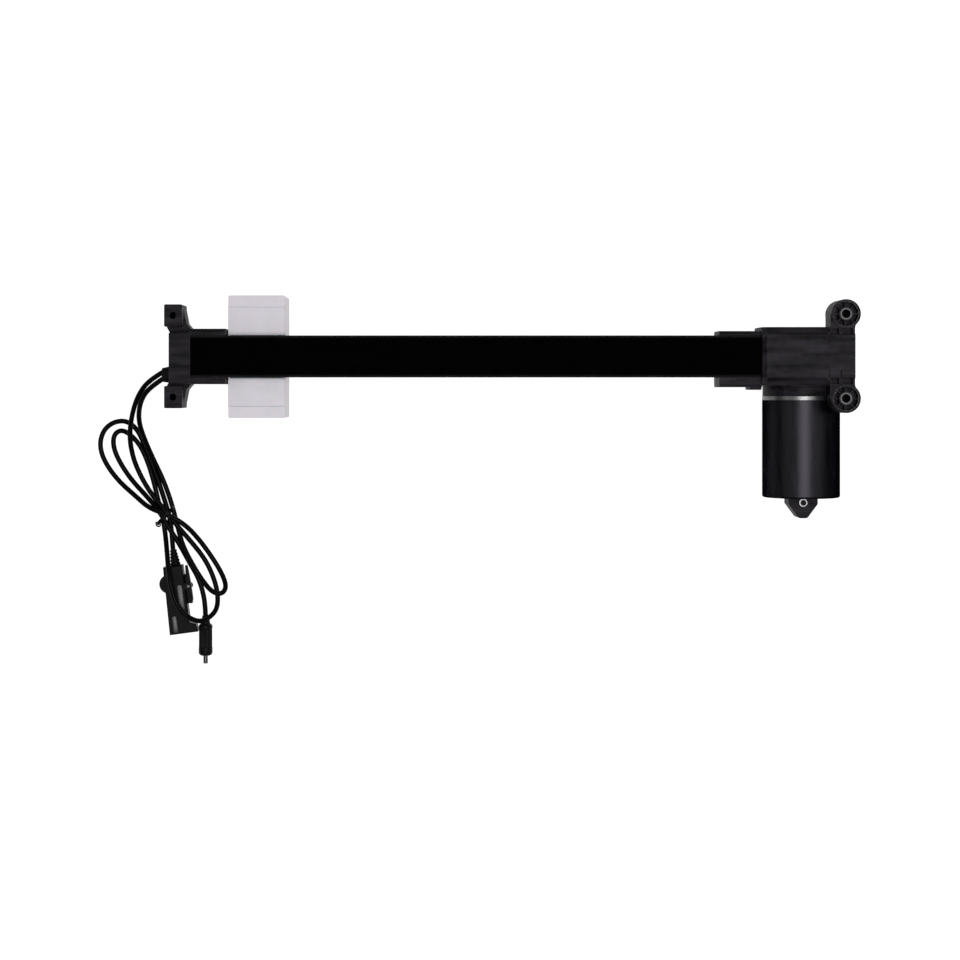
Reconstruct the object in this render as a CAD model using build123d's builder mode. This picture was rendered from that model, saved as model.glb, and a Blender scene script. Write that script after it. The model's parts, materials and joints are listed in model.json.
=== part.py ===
"""Recliner linear actuator: a geared motor turns a lead screw inside a guide rail and drives a carriage.

Frame: +X along the lead screw from the front bracket to the gearbox, +Z up, millimetres.
The origin is on the screw axis, midway between the two rear mounting bosses.
The actuator lies on its back on the plane z = REST_Z.
"""

from build123d import *
import math
import os

os.makedirs("parts", exist_ok=True)

# ---------------------------------------------------------------- driving dimensions
REST_Z = -53.5  # the surface that the actuator lies on

RAIL_WIDTH = 31.5
RAIL_HEIGHT = 26.0
RAIL_WALL = 2.2
RAIL_CORNER = 3.3
RAIL_SLOT = 13.0
RAIL_FRONT_X = -495.5
RAIL_REAR_X = -50.0
RAIL_FIT = 0.1  # gap between the rail and the mouldings that hold it

SCREW_CREST_R = 6.0
SCREW_FRONT_X = -476.0
SCREW_JOURNAL_R = 4.0
SCREW_STUD_R = 4.5

GEARBOX_FRONT_X = -61.7
GEARBOX_REAR_X = 7.0
GEARBOX_HALF = 21.9
GEARBOX_FACE_HALF = 15.8
GEARBOX_TOP_Z = 21.5
GEARBOX_BEVEL = 6.0
GEARBOX_FRONT_BEVEL = 3.0
GEARBOX_BACK_Z = -22.0
GEARBOX_BACK_BEVEL = 4.0
CHEEK_FRONT_X = -93.0
CHEEK_UPPER_Y = 19.1
CHEEK_LOWER_Y = -23.2
CHEEK_TOP_Z = 10.5
CHEEK_BACK_Z = -17.5

BOSS_SPREAD = 31.6  # half the distance between the two rear bosses
BOSS_R = 10.9
BOSS_RIM_R = 9.3
BOSS_HUB_R = 5.3
BOSS_SLEEVE_R = 4.4
BOSS_BORE_R = 3.25
BOSS_BACK_Z = -2.5
BOSS_TOP_Z = 22.0
BOSS_RECESS = 9.0
BOSS_SPOKES = 8
BOSS_SPOKE_WIDTH = 1.2
BOSS_SPOKE_DROP = 4.0  # how far the spokes lie below the rim
BOSS_FLOOR_Z = -0.5  # bottom of the blind bore
ARM_LEFT_X = -11.4
ARM_BACK_Z = 1.0
ARM_TOP_Z = 20.0

GEAR_MODULE = 1.25
WHEEL_TEETH = 28
WHEEL_FRONT_X = -31.3
WHEEL_WIDTH = 12.0
WORM_HALF = 12.0
WORM_PITCH_R = 6.5
GEAR_PLAY = 0.35  # gap between the flanks of the worm and the wheel
WHEEL_PITCH_R = GEAR_MODULE * WHEEL_TEETH / 2

MOTOR_X = -25.3
MOTOR_Z = -(WHEEL_PITCH_R + WORM_PITCH_R)
MOTOR_R = 29.5
MOTOR_WALL = 2.0
FLANGE_TOP_Y = -30.0
FLANGE_THICK = 3.0
CAN_TOP_Y = FLANGE_TOP_Y - FLANGE_THICK
CAN_END_Y = -107.6
SHAFT_R = 4.0
SHAFT_TOP_Y = 18.5
SHAFT_END_Y = -110.0
TAIL_HALF = 11.2
TAIL_SHOULDER_Y = -112.5
TAIL_TIP_Y = -123.3
TAIL_TIP_R = 3.2
TAIL_HALF_THICK = 9.0

BEARING_X = -17.0
BEARING_WIDTH = 8.0
BEARING_OUTER_R = 14.0
BEARING_OUTER_GROOVE = 11.8
BEARING_INNER_GROOVE = 8.2
BALL_R = 1.75
BALL_COUNT = 9
RUNNING_GAP = 0.05

BRACKET_FRONT_X = -506.3
BRACKET_REAR_X = -490.3
BRACKET_UPPER_Y = 17.6
BRACKET_LOWER_Y = -20.5
BRACKET_TOP_Z = 14.0
BRACKET_BACK_Z = -18.0
SLEEVE_REAR_X = -464.4
SLEEVE_HALF = 20.9
SLEEVE_TOP_Z = 9.0
EAR_SPREAD = 30.6  # half the distance between the two ear holes
EAR_X = -503.0
EAR_LENGTH = 13.4
EAR_WIDTH = 16.7
EAR_TOP_Z = 15.0
EAR_BACK_Z = -17.0
EAR_HOLE_R = 2.75
EAR_FLOOR_Z = -15.0  # bottom of the blind hole
GUSSET_TOP_Z = 3.0
GUSSET_TIP_X = -497.0
GUSSET_KNEE_X = -494.2
GUSSET_KNEE_Y = 25.0
GUSSET_ROOT_Y = 20.5
GUSSET_INNER_Y = 14.0
GUSSET_WAIST_Y = 16.8
GUSSET_SHOULDER_Y = 23.4

CARRIAGE_FRONT_X = -463.6
CARRIAGE_REAR_X = -420.5
CARRIAGE_HALF = 46.6
CARRIAGE_TOP_Z = -5.0
CARRIAGE_BAND = 9.0
CARRIAGE_BAND_DROP = 1.6
CARRIAGE_GAP = 0.6
CARRIAGE_WALL = 3.0
PIVOT_Z = -40.0
PIVOT_BORE_R = 5.0
PIVOT_BOSS_R = 9.0
NUT_FRONT_X = -456.0
NUT_REAR_X = -428.0
TRAVEL = 300.0

CORD_R = 1.8
CORD_BEND = 0.45  # share of the shorter run that each bend of a cord takes

PLUG_R = 5.4
PLUG_TIP_R = 1.75
CONNECTOR_LENGTH = 53.0
CONNECTOR_THICK = 12.0

# ---------------------------------------------------------------- planes and shared shapes


def across(x):
    """The plane square to the screw at x: its own x is +Y and its own y is +Z."""
    return Plane.YZ.offset(x)


def motor_plane(y):
    """The plane square to the motor shaft at y, centred on it; extrusions go away from the gearbox."""
    return Plane(origin=(MOTOR_X, y, MOTOR_Z), x_dir=(1, 0, 0), z_dir=(0, -1, 0))


def write(piece, label):
    """Label a finished piece and write its file."""
    piece.part.label = label
    export_step(piece.part, f"parts/{label}.step")


def tube(plane, outer, inner, length):
    """A plain tube, or a disc when inner is zero."""
    with BuildPart() as piece:
        with BuildSketch(plane):
            Circle(outer)
            if inner:
                Circle(inner, mode=Mode.SUBTRACT)
        extrude(amount=length)
    return piece


def screw(plane, shank_r, shank_length, head_r, head_height):
    """A cap screw: the head stands on the plane and the shank goes along its normal."""
    with BuildPart() as piece:
        with BuildSketch(plane):
            Circle(shank_r)
        extrude(amount=shank_length)
        with BuildSketch(plane):
            Circle(head_r)
            RegularPolygon(0.5 * head_r, 6, mode=Mode.SUBTRACT)
        extrude(amount=-head_height)
        with BuildSketch(plane):
            Circle(head_r)
        extrude(amount=-0.4 * head_height)
    return piece


def bend_radii(points):
    """The radius of each bend of a cord, from its two runs and its turn."""
    radii = []
    for before, corner, after in zip(points, points[1:], points[2:]):
        first = Vector(*corner) - Vector(*before)
        second = Vector(*after) - Vector(*corner)
        half_turn = math.radians(first.get_angle(second)) / 2
        radii.append(CORD_BEND * min(first.length, second.length) / math.tan(half_turn))
    return radii


def cord(label, points):
    """A round cord along straight runs joined by tangent arcs."""
    radii = bend_radii(points)
    with BuildPart() as piece:
        with BuildLine() as route:
            FilletPolyline(*points, radius=radii)
        path = route.wire()
        with BuildSketch(Plane(origin=path @ 0, z_dir=path % 0)):
            Circle(CORD_R)
        sweep(path=path)
    expected = math.pi * CORD_R**2 * path.length
    print(f"{label}: length {path.length:.1f}, volume ratio {piece.part.volume / expected:.4f}")
    print(f"{label}: bend radii {[round(radius) for radius in radii]}")
    write(piece, label)


# ---------------------------------------------------------------- guide rail
with BuildPart() as guide_rail:
    with BuildSketch(across(RAIL_FRONT_X)):
        RectangleRounded(RAIL_WIDTH, RAIL_HEIGHT, RAIL_CORNER)
        inner_corner = RAIL_CORNER - RAIL_WALL
        inner_width = RAIL_WIDTH - 2 * RAIL_WALL
        inner_height = RAIL_HEIGHT - 2 * RAIL_WALL
        RectangleRounded(inner_width, inner_height, inner_corner, mode=Mode.SUBTRACT)
        with Locations((0, -RAIL_HEIGHT / 2)):
            Rectangle(RAIL_SLOT, 3 * RAIL_WALL, mode=Mode.SUBTRACT)
    extrude(amount=RAIL_REAR_X - RAIL_FRONT_X)
write(guide_rail, "guide_rail")

# ---------------------------------------------------------------- gearbox housing, whole
CAVITY_GAP = 0.45
WHEEL_TIP_R = WHEEL_PITCH_R + GEAR_MODULE
WORM_TIP_R = WORM_PITCH_R + GEAR_MODULE
WHEEL_CAVITY_R = WHEEL_TIP_R + CAVITY_GAP
WORM_CAVITY_R = WORM_TIP_R + CAVITY_GAP
WORM_TUBE_R = WORM_CAVITY_R + 3.0
WORM_BUSH_R = 6.0
WORM_BUSH_LENGTH = 6.0
WORM_BUSH_Y = 13.0
NECK_TOP_Y = -19.0
NECK_POCKET_R = 25.0
NECK_POCKET_DEPTH = 4.0
SHOULDER_R = 11.0
PASSAGE_R = 8.5
END_NUT_FRONT_X = BEARING_X + BEARING_WIDTH
END_NUT_CAVITY_R = 10.5
END_NUT_REAR_X = -1.0
RIB_GROOVES_X = (-12.6, -3.7)
RIB_GROOVE_WIDTH = 1.6
POCKET_Y = 18.7
POCKETS = ((-8.0, 6.0), (1.4, 7.6))  # middle and length along X of the pockets between the ribs

with BuildPart() as housing:
    with BuildSketch(across(GEARBOX_FRONT_X)):
        with BuildLine():
            Polyline(
                (-GEARBOX_HALF, GEARBOX_TOP_Z - GEARBOX_BEVEL),
                (-GEARBOX_FACE_HALF, GEARBOX_TOP_Z),
                (GEARBOX_FACE_HALF, GEARBOX_TOP_Z),
                (GEARBOX_HALF, GEARBOX_TOP_Z - GEARBOX_BEVEL),
                (GEARBOX_HALF, GEARBOX_BACK_Z + GEARBOX_BACK_BEVEL),
                (GEARBOX_HALF - GEARBOX_BACK_BEVEL, GEARBOX_BACK_Z),
                (-GEARBOX_HALF + GEARBOX_BACK_BEVEL, GEARBOX_BACK_Z),
                (-GEARBOX_HALF, GEARBOX_BACK_Z + GEARBOX_BACK_BEVEL),
                close=True,
            )
        make_face()
    extrude(amount=GEARBOX_REAR_X - GEARBOX_FRONT_X)
    front_edges = housing.faces().sort_by(Axis.X)[0].edges()
    face_edges = front_edges.filter_by(lambda e: e.center().Z > GEARBOX_TOP_Z - GEARBOX_BEVEL)
    chamfer(face_edges, length=GEARBOX_FRONT_BEVEL)
    # cheeks that grip the sides and the back of the rail
    with BuildSketch(across(CHEEK_FRONT_X)):
        with Locations(((CHEEK_UPPER_Y + CHEEK_LOWER_Y) / 2, (CHEEK_TOP_Z + CHEEK_BACK_Z) / 2)):
            RectangleRounded(CHEEK_UPPER_Y - CHEEK_LOWER_Y, CHEEK_TOP_Z - CHEEK_BACK_Z, 2.5)
    extrude(amount=GEARBOX_FRONT_X - CHEEK_FRONT_X + 1)
    with BuildSketch(across(GEARBOX_FRONT_X - 8)):
        with Locations((CHEEK_LOWER_Y, -3)):
            RectangleRounded(4.0, 20.0, 1.5)
    extrude(amount=9)
    # round neck that carries the motor, and the tube around the worm
    with BuildSketch(motor_plane(NECK_TOP_Y)):
        Circle(MOTOR_R - 0.3)
    extrude(amount=NECK_TOP_Y - FLANGE_TOP_Y)
    with BuildSketch(motor_plane(GEARBOX_HALF)):
        Circle(WORM_TUBE_R)
    extrude(amount=GEARBOX_HALF - NECK_TOP_Y)
    # arms and bosses at the rear end
    with BuildSketch(Plane.XY.offset(ARM_BACK_Z)) as arms:
        with Locations(((ARM_LEFT_X + GEARBOX_REAR_X) / 2, 0)):
            Rectangle(GEARBOX_REAR_X - ARM_LEFT_X, 2 * BOSS_SPREAD)
        with Locations((0, BOSS_SPREAD), (0, -BOSS_SPREAD)):
            Circle(BOSS_R)
        inner_corners = arms.vertices().filter_by(lambda v: v.X > 0 and abs(v.Y) < BOSS_SPREAD - 5)
        fillet(inner_corners, radius=7)
    extrude(amount=ARM_TOP_Z - ARM_BACK_Z)
    with BuildSketch(Plane.XY.offset(BOSS_BACK_Z)):
        with Locations((0, BOSS_SPREAD), (0, -BOSS_SPREAD)):
            Circle(BOSS_R)
    extrude(amount=BOSS_TOP_Z - BOSS_BACK_Z)
    # recess in each boss, leaving the hub and the spokes
    with BuildSketch(Plane.XY.offset(BOSS_TOP_Z)):
        for side in (1, -1):
            with Locations((0, side * BOSS_SPREAD)):
                Circle(BOSS_RIM_R)
                Circle(BOSS_HUB_R, mode=Mode.SUBTRACT)
                with PolarLocations(BOSS_RIM_R / 2, BOSS_SPOKES):
                    Rectangle(BOSS_RIM_R, BOSS_SPOKE_WIDTH, mode=Mode.SUBTRACT)
    extrude(amount=-BOSS_RECESS, mode=Mode.SUBTRACT)
    with BuildSketch(Plane.XY.offset(BOSS_TOP_Z)):
        with Locations((0, BOSS_SPREAD), (0, -BOSS_SPREAD)):
            Circle(BOSS_RIM_R)
            Circle(BOSS_HUB_R, mode=Mode.SUBTRACT)
    extrude(amount=-BOSS_SPOKE_DROP, mode=Mode.SUBTRACT)
    with BuildSketch(Plane.XY.offset(BOSS_FLOOR_Z)):
        with Locations((0, BOSS_SPREAD), (0, -BOSS_SPREAD)):
            Circle(BOSS_SLEEVE_R)
    extrude(amount=BOSS_TOP_Z - BOSS_FLOOR_Z, mode=Mode.SUBTRACT)
    # grooves beside the ribs and pockets between them
    with BuildSketch(Plane.XY.offset(GEARBOX_TOP_Z)):
        for side in (1, -1):
            with Locations(*[(x, side * 14) for x in RIB_GROOVES_X]):
                Rectangle(RIB_GROOVE_WIDTH, 7)
    extrude(amount=-2.0, mode=Mode.SUBTRACT)
    with BuildSketch(Plane.XY.offset(GEARBOX_TOP_Z)):
        for side in (1, -1):
            for middle, length in POCKETS:
                with Locations((middle, side * POCKET_Y)):
                    RectangleRounded(length, 4.6, 0.6)
    extrude(amount=-7.0, mode=Mode.SUBTRACT)
    # room for the motor can under the lower boss
    with BuildSketch(motor_plane(FLANGE_TOP_Y)):
        Circle(MOTOR_R + 0.6)
    extrude(amount=20, mode=Mode.SUBTRACT)
    # cavities for the rail, the screw, the wheel, the bearing and the worm
    with BuildSketch(across(CHEEK_FRONT_X)):
        RectangleRounded(RAIL_WIDTH + 2 * RAIL_FIT, RAIL_HEIGHT + 2 * RAIL_FIT, RAIL_CORNER + RAIL_FIT)
    extrude(amount=RAIL_REAR_X - CHEEK_FRONT_X, mode=Mode.SUBTRACT)
    with BuildSketch(Plane.XY.offset(CHEEK_TOP_Z)):
        with Locations(((CHEEK_FRONT_X + GEARBOX_FRONT_X) / 2, 0)):
            Rectangle(GEARBOX_FRONT_X - CHEEK_FRONT_X, RAIL_WIDTH + 2 * RAIL_FIT)
    extrude(amount=-5, mode=Mode.SUBTRACT)
    with BuildSketch(across(RAIL_REAR_X - 1)):
        Circle(PASSAGE_R)
    extrude(amount=WHEEL_FRONT_X - RAIL_REAR_X + 1, mode=Mode.SUBTRACT)
    with BuildSketch(across(WHEEL_FRONT_X - 1)):
        Circle(WHEEL_CAVITY_R)
    extrude(amount=WHEEL_WIDTH + 2, mode=Mode.SUBTRACT)
    with BuildSketch(across(WHEEL_FRONT_X)):
        Circle(SHOULDER_R)
    extrude(amount=BEARING_X - WHEEL_FRONT_X, mode=Mode.SUBTRACT)
    with BuildSketch(across(BEARING_X)):
        Circle(BEARING_OUTER_R)
    extrude(amount=BEARING_WIDTH, mode=Mode.SUBTRACT)
    with BuildSketch(across(END_NUT_FRONT_X)):
        Circle(END_NUT_CAVITY_R)
    extrude(amount=END_NUT_REAR_X - END_NUT_FRONT_X, mode=Mode.SUBTRACT)
    with BuildSketch(motor_plane(WORM_BUSH_Y)):
        Circle(WORM_CAVITY_R)
    extrude(amount=WORM_BUSH_Y - FLANGE_TOP_Y, mode=Mode.SUBTRACT)
    with BuildSketch(motor_plane(WORM_BUSH_Y + WORM_BUSH_LENGTH)):
        Circle(WORM_BUSH_R)
    extrude(amount=WORM_BUSH_LENGTH, mode=Mode.SUBTRACT)
    with BuildSketch(motor_plane(FLANGE_TOP_Y + NECK_POCKET_DEPTH)):
        Circle(NECK_POCKET_R)
    extrude(amount=NECK_POCKET_DEPTH, mode=Mode.SUBTRACT)

# ---------------------------------------------------------------- screws that close the gearbox
CASE_SCREWS_XY = ((-57, 18.9), (-57, -18.9), (-13, 18), (-13, -18), (3.6, 11), (3.6, -11))
CASE_SCREW_R = 1.5
CASE_SCREW_HEAD_R = 2.8
CASE_SCREW_HEAD = 2.0
CASE_SCREW_SEAT_Z = GEARBOX_BACK_Z + 7.0
CASE_SCREW_LENGTH = 24.0
CASE_SCREW_WELL_R = 3.1

with BuildPart() as gearbox_screws:
    for x, y in CASE_SCREWS_XY:
        seat = Plane((x, y, CASE_SCREW_SEAT_Z))
        case_screw = screw(seat, CASE_SCREW_R, CASE_SCREW_LENGTH, CASE_SCREW_HEAD_R, CASE_SCREW_HEAD)
        add(case_screw.part)
write(gearbox_screws, "gearbox_screws")

with BuildPart() as drilled_housing:
    add(housing.part)
    with BuildSketch(Plane.XY.offset(CASE_SCREW_SEAT_Z)):
        with Locations(*CASE_SCREWS_XY):
            Circle(CASE_SCREW_R)
    extrude(amount=CASE_SCREW_LENGTH, mode=Mode.SUBTRACT)
    with BuildSketch(Plane.XY.offset(CASE_SCREW_SEAT_Z)):
        with Locations(*CASE_SCREWS_XY):
            Circle(CASE_SCREW_WELL_R)
    extrude(amount=-20, mode=Mode.SUBTRACT)

# ---------------------------------------------------------------- motor screws
MOTOR_SCREWS = ((20, -14), (-20, -14))  # along X and Z from the motor axis
MOTOR_SCREW_R = 2.0
MOTOR_SCREW_HEAD_R = 3.6
MOTOR_SCREW_HEAD = 3.0

with BuildPart() as motor_screws:
    for x, z in MOTOR_SCREWS:
        seat = Plane((MOTOR_X + x, NECK_TOP_Y, MOTOR_Z + z), x_dir=(1, 0, 0), z_dir=(0, -1, 0))
        add(screw(seat, MOTOR_SCREW_R, NECK_TOP_Y - CAN_TOP_Y, MOTOR_SCREW_HEAD_R, MOTOR_SCREW_HEAD).part)
write(motor_screws, "motor_screws")

with BuildPart() as finished_housing:
    add(drilled_housing.part)
    with BuildSketch(motor_plane(NECK_TOP_Y)):
        with Locations(*MOTOR_SCREWS):
            Circle(MOTOR_SCREW_R)
    extrude(amount=NECK_TOP_Y - FLANGE_TOP_Y, mode=Mode.SUBTRACT)

with BuildPart() as gearbox_front_shell:
    add(finished_housing.part)
    split(bisect_by=Plane.XY, keep=Keep.TOP)
write(gearbox_front_shell, "gearbox_front_shell")

with BuildPart() as gearbox_rear_cover:
    add(finished_housing.part)
    split(bisect_by=Plane.XY, keep=Keep.BOTTOM)
write(gearbox_rear_cover, "gearbox_rear_cover")

# ---------------------------------------------------------------- sleeves in the rear bosses
with BuildPart() as boss_sleeves:
    with BuildSketch(Plane.XY.offset(BOSS_FLOOR_Z)):
        with Locations((0, BOSS_SPREAD), (0, -BOSS_SPREAD)):
            Circle(BOSS_SLEEVE_R)
            Circle(BOSS_BORE_R, mode=Mode.SUBTRACT)
    extrude(amount=BOSS_TOP_Z - BOSS_FLOOR_Z)
write(boss_sleeves, "boss_sleeves")

# ---------------------------------------------------------------- lead screw and what turns with it
SCREW_TIP_X = -502.0
END_NUT_LENGTH = 6.0

with BuildPart() as lead_screw:
    with BuildSketch(across(SCREW_TIP_X)):
        Circle(SCREW_JOURNAL_R)
    extrude(amount=SCREW_FRONT_X - SCREW_TIP_X)
    with BuildSketch(across(SCREW_FRONT_X)):
        Circle(SCREW_CREST_R)
    extrude(amount=END_NUT_FRONT_X - SCREW_FRONT_X)
    with BuildSketch(across(END_NUT_FRONT_X)):
        Circle(SCREW_STUD_R)
    extrude(amount=END_NUT_LENGTH + 1.0)
write(lead_screw, "lead_screw")

TOOTH_DEPTH = 2.25 * GEAR_MODULE
WHEEL_ROOT_R = WHEEL_TIP_R - TOOTH_DEPTH
WORM_LEAD = math.pi * GEAR_MODULE
TOOTH_PITCH_WIDTH = WORM_LEAD / 2 - GEAR_PLAY
FLANK_SLOPE = math.tan(math.radians(20))
TOOTH_ROOT_WIDTH = TOOTH_PITCH_WIDTH + 2 * 1.25 * GEAR_MODULE * FLANK_SLOPE
WHEEL_PHASE = 180 / WHEEL_TEETH

with BuildPart() as worm_wheel:
    with BuildSketch(across(WHEEL_FRONT_X)) as wheel_section:
        Circle(WHEEL_ROOT_R)
        with PolarLocations(0, WHEEL_TEETH, start_angle=WHEEL_PHASE):
            with Locations((WHEEL_ROOT_R - 1, 0)):
                tooth_align = (Align.CENTER, Align.MIN)
                Trapezoid(TOOTH_ROOT_WIDTH, TOOTH_DEPTH + 1, 80, rotation=-90, align=tooth_align)
        Circle(SCREW_CREST_R, mode=Mode.SUBTRACT)
    extrude(amount=WHEEL_WIDTH)
    for face_x, direction in ((WHEEL_FRONT_X, 1), (WHEEL_FRONT_X + WHEEL_WIDTH, -1)):
        with BuildSketch(across(face_x)):
            Circle(WHEEL_ROOT_R - 2.5)
            Circle(SCREW_CREST_R + 3.5, mode=Mode.SUBTRACT)
        extrude(amount=direction * 3, mode=Mode.SUBTRACT)
write(worm_wheel, "worm_wheel")

write(tube(across(BEARING_X), BEARING_INNER_GROOVE, SCREW_CREST_R, BEARING_WIDTH), "bearing_inner_race")
write(tube(across(BEARING_X), BEARING_OUTER_R, BEARING_OUTER_GROOVE, BEARING_WIDTH), "bearing_outer_race")

with BuildPart() as bearing_balls:
    ring = Plane.YZ.offset(BEARING_X + BEARING_WIDTH / 2)
    with Locations(ring):
        with PolarLocations((BEARING_OUTER_GROOVE + BEARING_INNER_GROOVE) / 2, BALL_COUNT):
            Sphere(BALL_R)
write(bearing_balls, "bearing_balls")

with BuildPart() as retaining_nut:
    with BuildSketch(across(END_NUT_FRONT_X)):
        RegularPolygon(8.5, 6, major_radius=False)
        Circle(SCREW_STUD_R, mode=Mode.SUBTRACT)
    extrude(amount=END_NUT_LENGTH)
write(retaining_nut, "retaining_nut")

# ---------------------------------------------------------------- worm, shaft and armature
WORM_ROOT_R = WORM_TIP_R - TOOTH_DEPTH

write(tube(motor_plane(WORM_HALF), WORM_ROOT_R, SHAFT_R, 2 * WORM_HALF), "worm")
write(tube(motor_plane(SHAFT_TOP_Y), SHAFT_R, 0, SHAFT_TOP_Y - SHAFT_END_Y), "motor_shaft")

CORE_R = 20.5
CORE_TOP_Y = -54.0
CORE_LENGTH = 34.0
CORE_SLOTS = 10
SLOT_INNER_R = 9.5
SLOT_OUTER_R = 18.0
SLOT_ANGLE = 20
END_TURN = 6.0

with BuildSketch() as slot_section:
    with BuildLine():
        half = math.radians(SLOT_ANGLE / 2)
        inner_left = (SLOT_INNER_R * math.cos(half), -SLOT_INNER_R * math.sin(half))
        inner_right = (SLOT_INNER_R * math.cos(half), SLOT_INNER_R * math.sin(half))
        outer_left = (SLOT_OUTER_R * math.cos(half), -SLOT_OUTER_R * math.sin(half))
        outer_right = (SLOT_OUTER_R * math.cos(half), SLOT_OUTER_R * math.sin(half))
        Line(inner_left, outer_left)
        ThreePointArc(outer_left, (SLOT_OUTER_R, 0), outer_right)
        Line(outer_right, inner_right)
        ThreePointArc(inner_right, (SLOT_INNER_R, 0), inner_left)
    make_face()

with BuildPart() as armature_core:
    with BuildSketch(motor_plane(CORE_TOP_Y)):
        Circle(CORE_R)
        Circle(SHAFT_R, mode=Mode.SUBTRACT)
        with PolarLocations(0, CORE_SLOTS):
            add(slot_section.sketch, mode=Mode.SUBTRACT)
            with Locations((SLOT_OUTER_R, 0)):
                Rectangle(6, 1.6, mode=Mode.SUBTRACT)
    extrude(amount=CORE_LENGTH)
write(armature_core, "armature_core")

with BuildPart() as armature_windings:
    with BuildSketch(motor_plane(CORE_TOP_Y)):
        with PolarLocations(0, CORE_SLOTS):
            add(slot_section.sketch)
    extrude(amount=CORE_LENGTH)
    for end_y in (CORE_TOP_Y + END_TURN, CORE_TOP_Y - CORE_LENGTH):
        with BuildSketch(motor_plane(end_y)):
            Circle(SLOT_OUTER_R)
            Circle(SLOT_INNER_R, mode=Mode.SUBTRACT)
        extrude(amount=END_TURN)
write(armature_windings, "armature_windings")

COMMUTATOR_R = 8.0
COMMUTATOR_TOP_Y = -37.0
COMMUTATOR_LENGTH = 10.0
COMMUTATOR_BARS = 10

with BuildPart() as commutator:
    with BuildSketch(motor_plane(COMMUTATOR_TOP_Y)):
        Circle(COMMUTATOR_R)
        Circle(SHAFT_R, mode=Mode.SUBTRACT)
        with PolarLocations(COMMUTATOR_R, COMMUTATOR_BARS):
            Rectangle(1.6, 0.7, mode=Mode.SUBTRACT)
    extrude(amount=COMMUTATOR_LENGTH)
write(commutator, "commutator")

# ---------------------------------------------------------------- motor casing and what stands still in it
HUB_R = 11.0
HUB_LENGTH = 4.0
BUSH_R = 7.0
BUSH_LENGTH = 7.0

with BuildPart() as motor_flange_plate:
    with BuildSketch(motor_plane(FLANGE_TOP_Y)):
        Circle(MOTOR_R)
        Circle(BUSH_R, mode=Mode.SUBTRACT)
        with Locations(*MOTOR_SCREWS):
            Circle(MOTOR_SCREW_R, mode=Mode.SUBTRACT)
    extrude(amount=FLANGE_THICK)
    with BuildSketch(motor_plane(FLANGE_TOP_Y + HUB_LENGTH)):
        Circle(HUB_R)
        Circle(BUSH_R, mode=Mode.SUBTRACT)
    extrude(amount=HUB_LENGTH)
write(motor_flange_plate, "motor_flange_plate")

write(
    tube(motor_plane(FLANGE_TOP_Y + HUB_LENGTH), BUSH_R, SHAFT_R + RUNNING_GAP, BUSH_LENGTH),
    "motor_front_bush",
)
write(
    tube(motor_plane(WORM_BUSH_Y + WORM_BUSH_LENGTH), WORM_BUSH_R, SHAFT_R + RUNNING_GAP, WORM_BUSH_LENGTH),
    "worm_end_bush",
)

REAR_BUSH_TOP_Y = CAN_END_Y + 4.0

with BuildPart() as motor_can:
    with BuildSketch(motor_plane(CAN_TOP_Y)):
        Circle(MOTOR_R)
    extrude(amount=CAN_TOP_Y - CAN_END_Y)
    fillet(motor_can.edges().sort_by(Axis.Y)[0], radius=1.6)
    with BuildSketch(motor_plane(CAN_TOP_Y)):
        Circle(MOTOR_R - MOTOR_WALL)
    extrude(amount=CAN_TOP_Y - CAN_END_Y - MOTOR_WALL, mode=Mode.SUBTRACT)
    with BuildSketch(motor_plane(CAN_END_Y + 5)):
        Circle(BUSH_R)
    extrude(amount=10, mode=Mode.SUBTRACT)
write(motor_can, "motor_can")

MAGNET_R = MOTOR_R - MOTOR_WALL
MAGNET_THICK = 6.0
MAGNET_HALF_ANGLE = 62
MAGNET_TOP_Y = -48.0
MAGNET_LENGTH = 46.0

with BuildPart() as motor_magnets:
    with BuildSketch(motor_plane(MAGNET_TOP_Y)):
        for middle in (90, 270):
            with BuildLine():
                low = middle - MAGNET_HALF_ANGLE
                inner = CenterArc((0, 0), MAGNET_R - MAGNET_THICK, low, 2 * MAGNET_HALF_ANGLE)
                outer = CenterArc((0, 0), MAGNET_R, low, 2 * MAGNET_HALF_ANGLE)
                Line(inner @ 0, outer @ 0)
                Line(inner @ 1, outer @ 1)
            make_face()
    extrude(amount=MAGNET_LENGTH)
write(motor_magnets, "motor_magnets")

CARD_THICK = 2.4
BRUSH_LENGTH = 9.0
BRUSH_WIDTH = 5.0
BRUSH_TOP_Y = -38.5
BRUSH_DEPTH = 7.0
SPRING_LENGTH = 7.0

with BuildPart() as brush_card:
    with BuildSketch(motor_plane(CAN_TOP_Y)):
        Circle(MOTOR_R - MOTOR_WALL)
        Circle(COMMUTATOR_R + 1.5, mode=Mode.SUBTRACT)
        with Locations(*MOTOR_SCREWS):
            Circle(MOTOR_SCREW_R + 1.5, mode=Mode.SUBTRACT)
    extrude(amount=CARD_THICK)
    with BuildSketch(motor_plane(CAN_TOP_Y - CARD_THICK)):
        for side in (1, -1):
            with Locations((side * 17, 0)):
                Rectangle(17, BRUSH_WIDTH + 3)
                Rectangle(17, BRUSH_WIDTH, mode=Mode.SUBTRACT)
    extrude(amount=BRUSH_DEPTH + 3)
write(brush_card, "brush_card")

with BuildPart() as brushes:
    with BuildSketch(motor_plane(BRUSH_TOP_Y)):
        for side in (1, -1):
            with Locations((side * (COMMUTATOR_R + 0.1 + BRUSH_LENGTH / 2), 0)):
                Rectangle(BRUSH_LENGTH, BRUSH_WIDTH - 0.2)
    extrude(amount=BRUSH_DEPTH)
write(brushes, "brushes")

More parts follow.
